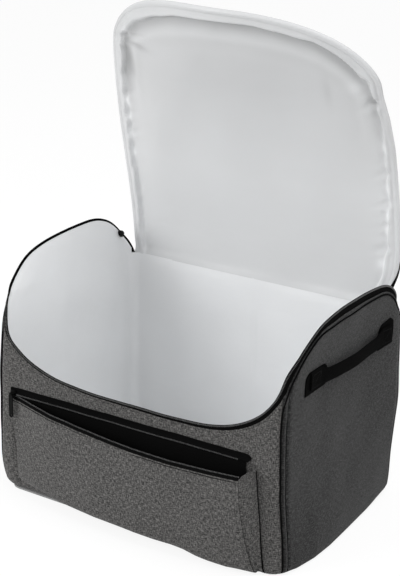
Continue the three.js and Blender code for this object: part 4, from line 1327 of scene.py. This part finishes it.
def lid_zipper():
    for index in range(6):
        parts = []
        teeth = []
        for side, line in enumerate(lid_outline(4.0, index)):
            inner = lid_outline(10.0, index)[side]
            edge = lid_outline(1.0 if side == 1 else 3.4, index)[side]
            paths = (edge, line, (line + inner) / 2, inner)
            rows_out = [lid_place(path, 0.55)[0] for path in paths]
            rows_in = [lid_place(path, 0.02)[0] for path in paths]
            across = np.array([0, 1, 3, 6.0])
            if side == 1 and index < 2:
                turned_out, turned_in = turned_edge(index, side)
                rows_out = turned_out + rows_out
                rows_in = turned_in + rows_in
                across = np.array([-11, -8, -1, 0, 1, 3, 6.0])
            front, back = np.stack(rows_out), np.stack(rows_in)
            if index < 5 and side == 0:
                front, back = front[::-1], back[::-1]
            run = lengths_along(line)
            uv = together(run, across[:, None])
            parts.append(slab("tape_part", front, back, TAPE_BLACK, uv))
            teeth.append(lid_place(lid_outline(4.4, index)[side], 0.7))
        thing = joined("lid_tape_%d" % (index + 1), parts)
        names = ["end"] if index == 5 else ["%s_%d" % (side, index + 1) for side in ("left", "right")]
        settle_on_lid(thing, index, "tape", *["lid_zipper_tape_" + name for name in names])
        coil = row("lid_teeth_%d" % (index + 1), teeth, COIL, COIL_STEP, COIL_TURN, 2.8, 1.3)
        settle_on_lid(coil, index, "coil")


# Front pocket

POCKET_LEFT = corners("pocket_front")[0][0]
POCKET_LEFT_TOP = -217.0
POCKET_RIGHT_LOW = 205.0
POCKET_SEAM_LOW = 213.5
POCKET_RIGHT_TOP = 189.0
WALL_FACE = -HALF_DEPTH
POCKET_MOUTH_Z = corners("pocket_zipper_upper")[0][2]
POCKET_FOOT_Z = corners("pocket_floor")[0][2]
POCKET_CLEAR = 3.2
POCKET_BLEND = ((0, WALL_FACE - 4, 80), (0, WALL_FACE - 30, 80))
POCKET_BODIES = ("root", "pocket_front")


def front_face(x, z):
    """y of the front wall's outer face."""
    return skin(x, np.maximum(z, 0), 0.0)[..., 1]


def foot_height(x):
    """The pocket's foot rises towards its gathered left corner."""
    return POCKET_FOOT_Z + np.interp(x, [-218, -170, -120, -60, 0, 50, 80, 100, 120, 140, 165],
                                     [17, 13, 10.5, 12, 11.5, 10, 10.5, 8.8, 4.5, 2, 0.5])


def lip_height(x):
    return np.interp(x, [-218, -210, -200, -140, -90, -40, 20, 80, 140, 190],
                     [154, 150, 149, 148, 147, 144.0, 140.5, 140.0, 143.0, 146])


def lip_reach(x):
    return np.interp(x, [-218, -200, -170, -130, -80, -20, 60, 150, 190],
                     [3.0, 6.5, 15, 25.5, 32, 35, 35.5, 35, 33])


def foot_reach(x):
    return np.interp(x, [-218, -205, -170, -120, -50, 20, 70, 127, 165, 195, 205],
                     [5, 9, 18, 26, 33, 34, 32, 28, 23, 15, 12])


def pocket_front_point(a, b, depth=0.0):
    """A point of the pocket's front: a from left to right, b from the floor to the lip."""
    left = POCKET_LEFT + (POCKET_LEFT_TOP - POCKET_LEFT) * eased(b)
    right = POCKET_RIGHT_LOW + (POCKET_RIGHT_TOP - POCKET_RIGHT_LOW) * (1 - (1 - b) ** 1.5)
    x = left + (right - left) * a
    low_z = foot_height(x)
    z = low_z + (lip_height(x) - low_z) * b
    low, high = foot_reach(x), lip_reach(x)
    towards_right = eased((x - 60) / 90)
    share = (1 - towards_right) * eased(b ** 0.9) + towards_right * (1 - (1 - b) ** 2.2)
    reach = low + (high - low) * share
    belly = 2.6 * np.sin(math.pi * b) * np.sin(math.pi * np.clip(a, 0, 1)) ** 0.5
    sag = (0.8 * np.sin(x / 38 + z / 60) + 0.5 * np.sin(x / 17 - z / 29 + 1)) * np.sin(math.pi * b) ** 0.7
    foot = np.interp(x, [-215, -60, 210], [24, 13, 10])
    under = np.clip(1 - (z - low_z) / foot, 0, 1)
    turned = foot * (1 - np.sqrt(np.clip(1 - under ** 2, 0, 1)))
    reach = reach + belly + sag - turned * np.clip(low / 20, 0, 1)
    y = np.minimum(WALL_FACE - reach, front_face(x, z) - POCKET_CLEAR) + depth
    return together(x, y, z)


def pocket_front():
    a = graded(0, 1, [0, 0.004, 0.008, 0.013, 0.02, 0.03], 0.011)
    parts = ((0, 0.08, 12), (0.08, 0.9, 34), (0.9, 1, 10))
    b = np.concatenate([[0]] + [np.linspace(*part)[1:] for part in parts])
    ga, gb = np.meshgrid(a, b)
    seam = 0.8 * np.exp(-((ga * 410) / 2.5) ** 2)
    front = pocket_front_point(ga, gb, seam)
    back = pocket_front_point(ga, gb, seam + CLOTH)
    uv = front[..., [0, 2]]
    thing = slab("pocket_front_cloth", front, back, SHELL, uv)
    settle_bent(thing, POCKET_BODIES, POCKET_BLEND, "shell", "pocket_front")
    inside = pocket_front_point(ga, gb, seam + CLOTH + 0.2)
    inner = pocket_front_point(ga, gb, seam + CLOTH + 0.9)
    thing = slab("pocket_front_lining_cloth", inside, inner, POCKET_CLOTH, uv)
    settle_bent(thing, POCKET_BODIES, POCKET_BLEND, "pocket_lining", "pocket_front_lining")


def pocket_gusset(name, edge, wall, material, node, fold, sign):
    """A strip of cloth between the pocket's front edge and the wall; fold is its mid crease."""
    t = np.linspace(0, 1, 26)
    edge = edge + np.array([-0.6 * sign, 1.3, 0])
    shape = np.sin(math.pi * t) ** 0.8
    grid = edge[:, None] + (wall - edge)[:, None] * t[None, :, None]
    crease = hump((t - 0.26) / 0.16)[None, :, None] * np.array([0.7 * sign, -1.5, 0])
    b = np.linspace(0, 1, len(edge))
    full = (fold * np.interp(b, [0, 0.25, 0.5, 1], [-1.2, -0.3, 0.6, 1.0]))[:, None, None]
    grid = grid + full * shape[None, :, None] * np.array([sign, 0, 0]) + crease
    grid[..., 2] += 4.5 * hump((t - 0.35) / 0.45)[None] * b[:, None] ** 8
    pucker = 0.5 * np.sin(t * 21 + 0.4)[None] * np.exp(-((1 - b) / 0.06) ** 2)[:, None]
    wobble = 0.5 * np.sin(grid[..., 2] / 13) * shape[None, :] ** 3 + pucker
    grid[..., 0] += wobble * sign
    inward = np.array([-sign * CLOTH, 0.0, 0.0])
    steps = np.linalg.norm(np.diff(grid, axis=1, prepend=grid[:, :1]), axis=2)
    uv = together(np.cumsum(steps, axis=1), grid[..., 2] * 1.1)
    front, back, uv = handed(sign, grid, grid + inward, uv)
    thing = slab(name, front, back, material, uv)
    settle_bent(thing, POCKET_BODIES, POCKET_BLEND, "shell", node)
    if sign > 0:
        thing = tube(name + "_hem", grid[-1], one_way(0, 0, 1, t), 1.1, SHELL, sides=8)
        settle_bent(thing, POCKET_BODIES, POCKET_BLEND, "shell")
        thing = tube(name + "_seam", grid[:, -1], one_way(0, -1, 0, b), 0.9, PIPING, sides=8)
        settle(thing, "root", "piping")


def pocket_gussets():
    b = np.linspace(0, 1, 40)
    edge = pocket_front_point(1, b)
    top = edge[-1, 2] + 8
    wall_z = np.linspace(POCKET_FOOT_Z, top, len(b))
    seam_x = np.linspace(POCKET_SEAM_LOW, 198, len(b))
    wall = together(seam_x, front_face(seam_x, wall_z) - 1.3, wall_z)
    pocket_gusset("pocket_right_gusset_cloth", edge, wall, SHELL, "pocket_right_gusset", 3.0, 1)
    edge = pocket_front_point(0, b)
    seam_x, wall_z = edge[:, 0] - 1.2, edge[:, 2]
    wall = together(seam_x, front_face(seam_x, wall_z) - 0.9, wall_z)
    pocket_gusset("pocket_left_gusset_cloth", edge, wall, SHELL, "pocket_left_gusset", 1.5, -1)


def pocket_inside():
    a, b = np.meshgrid(np.linspace(0.012, 0.985, 60), np.linspace(0.03, 1, 24))
    within = pocket_front_point(a, b)
    gx, gz = within[..., 0], within[..., 2]
    mouth = np.linspace(gz[-1], np.full(60, POCKET_MOUTH_Z + 3.0), 6)[1:]
    gz = np.vstack([gz, mouth])
    gx = np.vstack([gx, np.tile(gx[-1], (5, 1))])
    front = together(gx, front_face(gx, gz) - 1.6, gz)
    back = front + np.array([0, 0.8, 0])
    thing = slab("pocket_back_lining_cloth", front, back, POCKET_CLOTH, together(gx, gz))
    settle(thing, "root", "pocket_lining", "pocket_back_lining")
    edge = pocket_front_point(np.linspace(0, 1, 60), 0)
    wall = together(edge[:, 0], WALL_FACE - 0.5, edge[:, 2])
    sheet = edge + (wall - edge) * np.linspace(0, 1, 8)[:, None, None]
    sheet[..., 2] = foot_height(sheet[..., 0])
    thing = slab("pocket_floor_cloth", sheet + np.array([0, 0, 1.0]), sheet, SHELL, sheet[..., :2])
    settle_bent(thing, POCKET_BODIES, POCKET_BLEND, "shell", "pocket_floor")


def pocket_zipper():
    (left, _, low), (right, _, high) = corners("pocket_zipper_upper")
    x = np.linspace(left, right, 130)
    rise = np.interp(x, [left, right], [0, 4])
    rounding = 8 * (1 - np.sqrt(np.clip(1 - np.clip((x - right + 8) / 8, 0, 1) ** 2, 0, 1)))
    t = np.linspace(0, 1, 8)
    z = (low + rise + rounding * 0.5)[None] + ((high - low) - rounding)[None] * t[:, None]
    y = front_face(x, z)
    front = together(x, y - 1.6 - 1.2 * (t[:, None] < 0.4), z)
    thing = slab("pocket_zipper_upper_tape", front, together(x, y - 0.1, z), TAPE_BLACK, together(x, z))
    settle(thing, "root", "tape", "pocket_zipper_upper")
    line = together(x, y[0] - 3.0, low + rise + 1.2)[:-6]
    coil = row("pocket_upper_teeth", [(line, one_way(0, -1, 0, line))], COIL, COIL_STEP, 1.1, 2.6, 1.5)
    settle(coil, "root", "coil")
    top = pocket_front_point(np.linspace(0, 1, 140), 1)
    rises = np.array([-3.0, 0.0, 2.5, 5.0, 6.2])
    grid = top[None] + np.array([0, 0.2, 1.0]) * rises[:, None, None]
    grid = grid + np.array([0, 0.35, 0])
    grid[..., 1] = np.minimum(grid[..., 1], WALL_FACE - 2.0)
    back = grid + np.array([0, 1.0, 0])
    thing = slab("pocket_zipper_lower_tape", grid, back, TAPE_BLACK, grid[..., [0, 2]])
    settle_bent(thing, POCKET_BODIES, POCKET_BLEND, "tape", "pocket_zipper_lower")
    line = grid[-1] + np.array([0, 0.2, -0.7])
    coil = row("pocket_lower_teeth", [(line, one_way(0, -1, 0, line))], COIL, COIL_STEP, 1.1, 2.4, 1.6)
    settle_bent(coil, POCKET_BODIES, POCKET_BLEND, "coil")


def pocket_stitches():
    """Top stitching along the pocket's lip and down its right edge."""
    lip = pocket_front_point(np.linspace(0.01, 0.99, 160), 0.985, -0.1)
    right = pocket_front_point(0.986, np.linspace(0.03, 0.97, 60), -0.1)
    lines = [(line, one_way(0, -1, 0, line)) for line in (lip, right)]
    thing = row("pocket_stitches", lines, THREAD, STITCH_STEP, STITCH, 0.6, 0.45)
    settle_bent(thing, POCKET_BODIES, POCKET_BLEND, "shell")


def pocket():
    pocket_front()
    pocket_gussets()
    pocket_inside()
    pocket_zipper()
    pocket_stitches()


# Handles

(_, HANDLE_FRONT_Y, HANDLE_LOW_Z), (_, HANDLE_REAR_Y, HANDLE_TOP_Z) = corners("right_handle_strap")
HANDLE_FLAT = 30
# How the patches differ from their solids: the front one is longer and less tall, and the rear one
# starts further forward, ends earlier and rises to the rear
PATCH_LENGTHENED = 12
PATCH_LOWERED = 4
PATCH_FORWARD = 4
PATCH_SHORTENED = 11
PATCH_RAISED = 3
PATCH_TILT = 4
PATCH_CORNER = 7.0
# How far the strap's rear end stops short of its solid's
STRAP_SHORTENED = 9
STRAP_SAG = 3.0
HANDLE_REACH = 6.5


def wall_x(y, z, sign):
    """The side wall's outer face at y and z."""
    u = sign * side_run(y)
    return np.abs(skin(u, z)[..., 0])


def handle_patch(name, sign):
    lo, hi = corners(name)
    rear = name.endswith("rear")
    if rear:
        lo[1] -= PATCH_FORWARD
        hi[1] -= PATCH_SHORTENED
    else:
        hi[1] += PATCH_LENGTHENED
        hi[2] -= PATCH_LOWERED
    gy, gz = np.meshgrid(np.linspace(lo[1], hi[1], 26), np.linspace(lo[2], hi[2], 22))
    over = np.clip((gz - (hi[2] - PATCH_CORNER)) / PATCH_CORNER, 0, 1)
    middle = (lo[1] + hi[1]) / 2
    half = (hi[1] - lo[1]) / 2
    gy = middle + (gy - middle) * (half - PATCH_CORNER * over ** 1.4) / half
    edge = np.minimum(np.minimum(gy - lo[1], hi[1] - gy), np.minimum(gz - lo[2], hi[2] - gz))
    thick = 1.3 + 0.5 * eased(edge / 3) - 0.4 * np.exp(-((edge - 3.2) / 0.8) ** 2)
    if rear:
        raised = PATCH_RAISED + PATCH_TILT * (gz - lo[2]) / (hi[2] - lo[2])
        gz = gz + (gy - lo[1]) / (hi[1] - lo[1]) * raised
    base_x = wall_x(gy, gz, sign) + 0.1
    front = together(sign * (base_x + thick), gy, gz)
    back = together(sign * base_x, gy, gz)
    front, back, uv = handed(sign, front, back, together(gy, gz))
    thing = slab(name + "_cloth", front, back, WEBBING, uv)
    settle(thing, "root", "webbing", name)


def strap_section(y):
    """Lift and half height of the strap at y, and how free it is, from 0 where it is sewn to 1."""
    along = (y - HANDLE_FRONT_Y - HANDLE_FLAT) / (HANDLE_REAR_Y - HANDLE_FRONT_Y - 2 * HANDLE_FLAT)
    bow = np.sin(math.pi * np.clip(along, 0, 1)) ** 0.8
    free = eased((along + 0.05) / 0.16) * eased((1.0 - along) / 0.16)
    return HANDLE_REACH * bow, (HANDLE_TOP_Z - HANDLE_LOW_Z) / 2 * (1 - 0.24 * free), free


def handle_strap(side, sign):
    middle_y = (HANDLE_FRONT_Y + HANDLE_REAR_Y) / 2
    half_z = (HANDLE_LOW_Z + HANDLE_TOP_Z) / 2
    rear_y = HANDLE_REAR_Y - STRAP_SHORTENED
    for end, y0, y1 in (("front", HANDLE_FRONT_Y, middle_y), ("rear", middle_y, rear_y)):
        gy, gk = np.meshgrid(np.linspace(y0, y1, 46), np.linspace(-1, 1, 15))
        lift, half, free = strap_section(gy)
        z = half_z + half * gk + 1.2 * (1 - lift / HANDLE_REACH) - STRAP_SAG * free
        round_off = 1.1 * np.abs(gk) ** 6
        base_x = wall_x(gy, half_z, sign) + 2.1 + lift
        front = together(sign * (base_x + 2.6 - round_off), gy, z)
        back = together(sign * (base_x + 0.2 + round_off * 0.3), gy, z)
        front, back, uv = handed(sign, front, back, together(gy, z))
        nodes = [side + "_handle_strap"] if end == "front" else []
        thing = slab("%s_handle_strap_%s" % (side, end), front, back, WEBBING, uv)
        outer, inner = (y0 + 26, y0 + 62) if end == "front" else (y1 - 26, y1 - 62)
        line = ((sign * HALF_WIDTH, outer, half_z), (sign * HALF_WIDTH, inner, half_z))
        settle_bent(thing, ("root", side + "_handle"), line, "webbing", *nodes)


def handle_stitches(side, sign):
    """A box of stitches on each sewn end of the strap."""
    lines = []
    rear_y = HANDLE_REAR_Y - STRAP_SHORTENED
    for y0, y1 in ((HANDLE_FRONT_Y + 3, HANDLE_FRONT_Y + 24), (rear_y - 24, rear_y - 3)):
        z0, z1 = HANDLE_LOW_Z + 4, HANDLE_TOP_Z - 3
        box = np.array([[y0, z0], [y1, z0], [y1, z1], [y0, z1], [y0, z0], [y1, z1]])
        y, z = resampled(box, 1.5).T
        points = together(sign * (wall_x(y, z, sign) + 4.75), y, z)
        lines.append((points, one_way(sign, 0, 0, points)))
    thing = row(side + "_handle_stitches", lines, THREAD, 2.6, 2.0, 0.55, 0.5)
    settle(thing, "root", "webbing")


def handles():
    for side, sign in (("left", -1), ("right", 1)):
        for end in ("front", "rear"):
            handle_patch("%s_handle_patch_%s" % (side, end), sign)
        handle_strap(side, sign)
        handle_stitches(side, sign)


# Sliders and pulls

def rounded_metal(name, node_name, body, bevel):
    """A slider or pull with its edges rounded."""
    node = frame["nodes"][node_name]
    mesh = node.data.copy()
    mesh.transform(node.matrix_world)
    mesh.name = name
    mesh.materials.clear()
    mesh.materials.append(ENAMEL)
    thing = placed(name, mesh)
    edges = thing.modifiers.new("edges", "BEVEL")
    edges.width = bevel * MM
    edges.segments = 3
    edges.limit_method = "ANGLE"
    thing.data = evaluated_mesh(thing, name)
    thing.modifiers.clear()
    thing.data.polygons.foreach_set("use_smooth", [True] * len(thing.data.polygons))
    settle(thing, body, "slider", node_name)


def sliders():
    for zip_name in ("pocket", "lid"):
        slider, pull = zip_name + "_slider", zip_name + "_pull"
        rounded_metal(slider + "_body", slider, slider, 0.8)
        rounded_metal(pull + "_tab", pull, pull, 0.5)


# CAD nodes that keep their shape

def finish_nodes():
    for name, material in (("base_board", BOARD), ("base_padding", FOAM)):
        node = frame["nodes"][name]
        node.data.materials.clear()
        node.data.materials.append(material)


# Stage, light and camera

CAMERA_PLACE = Vector((1.0876, -1.6696, 1.0341))
CAMERA_AZIMUTH = math.radians(33.1)
CAMERA_ELEVATION = math.radians(19.8)
CAMERA_ROLL = math.radians(0.8)
FOCAL_PIXELS = 1480.8
FRAME_WIDTH = 400
SENSOR = 36.0
FLOOR_HALF = 12.0
FLOOR_GLOW = 1.06
FLOOR_GLOW_SHARE = 0.82
WORLD_LIGHT = 0.55


def camera():
    data = bpy.data.cameras.new("camera")
    data.sensor_fit = "HORIZONTAL"
    data.sensor_width = SENSOR
    data.lens = FOCAL_PIXELS * SENSOR / FRAME_WIDTH
    data.clip_end = 50
    azimuth, elevation = CAMERA_AZIMUTH, CAMERA_ELEVATION
    level = math.cos(elevation)
    back = Vector((math.sin(azimuth) * level, -math.cos(azimuth) * level, math.sin(elevation)))
    right = Vector((math.cos(azimuth), math.sin(azimuth), 0))
    up = back.cross(right)
    rolled_right = right * math.cos(CAMERA_ROLL) + up * math.sin(CAMERA_ROLL)
    rolled_up = up * math.cos(CAMERA_ROLL) - right * math.sin(CAMERA_ROLL)
    thing = placed("camera", data)
    thing.location = CAMERA_PLACE
    thing.rotation_euler = Matrix((rolled_right, rolled_up, back)).transposed().to_euler()
    bpy.context.scene.camera = thing


def lamp(name, place, target, size, power):
    data = bpy.data.lights.new(name, "AREA")
    data.shape = "RECTANGLE"
    data.size, data.size_y = size
    data.energy = power
    thing = placed(name, data)
    thing.location = place
    aim = Vector(target) - Vector(place)
    thing.rotation_euler = aim.to_track_quat("-Z", "Y").to_euler()


def floor():
    """A pale floor that looks white to the camera but keeps the object's shadow."""
    finish = Finish("pale_floor", roughness=0.9)
    finish.colour(grey(0.9))
    glow = finish.add("ShaderNodeEmission", {"Strength": FLOOR_GLOW}).outputs["Emission"]
    seen = finish.add("ShaderNodeLightPath").outputs["Is Camera Ray"]
    share = finish.math("MULTIPLY", seen, FLOOR_GLOW_SHARE)
    mix = finish.add("ShaderNodeMixShader", {"Fac": share, 1: finish.shader.outputs["BSDF"], 2: glow})
    finish.link(mix.outputs["Shader"], finish.tree.nodes["Material Output"].inputs["Surface"])
    half = FLOOR_HALF
    points = [(-half, -half, 0), (half, -half, 0), (half, half, 0), (-half, half, 0)]
    mesh = bpy.data.meshes.new("floor")
    mesh.from_pydata(points, [], [(0, 1, 2, 3)])
    mesh.materials.append(finish.material)
    placed("floor", mesh)


def world():
    """White to the camera and to glossy and transmitted rays, and a dimmer even light otherwise."""
    made = bpy.data.worlds.new("studio")
    made.use_nodes = True
    tree = made.node_tree
    background = tree.nodes["Background"]
    background.inputs["Color"].default_value = (1, 1, 1, 1)
    rays = new_node(tree, "ShaderNodeLightPath").outputs
    kinds = {0: rays["Is Camera Ray"], 1: rays["Is Glossy Ray"]}
    seen = new_node(tree, "ShaderNodeMath", kinds, operation="MAXIMUM").outputs["Value"]
    kinds = {0: seen, 1: rays["Is Transmission Ray"]}
    seen = new_node(tree, "ShaderNodeMath", kinds, operation="MAXIMUM").outputs["Value"]
    strength = new_node(tree, "ShaderNodeMapRange", {"To Min": WORLD_LIGHT, "To Max": 1.0, "Value": seen})
    tree.links.new(strength.outputs["Result"], background.inputs["Strength"])
    bpy.context.scene.world = made


def stage():
    floor()
    world()
    middle = (0, 0, 0.3)
    lamp("key", (-1.7, -2.3, 1.5), middle, (1.8, 1.4), 44)
    lamp("fill", (2.2, -1.4, 1.0), middle, (1.6, 1.6), 5)
    lamp("top", (1.0, 0.1, 2.5), middle, (1.6, 1.6), 26)
    bpy.context.scene.view_settings.view_transform = "Standard"


def main():
    camera()
    stage()
    walls()
    base()
    lining()
    opening_zipper()
    pipings()
    wall_stitches()
    lid()
    pocket()
    handles()
    sliders()
    finish_nodes()


main()
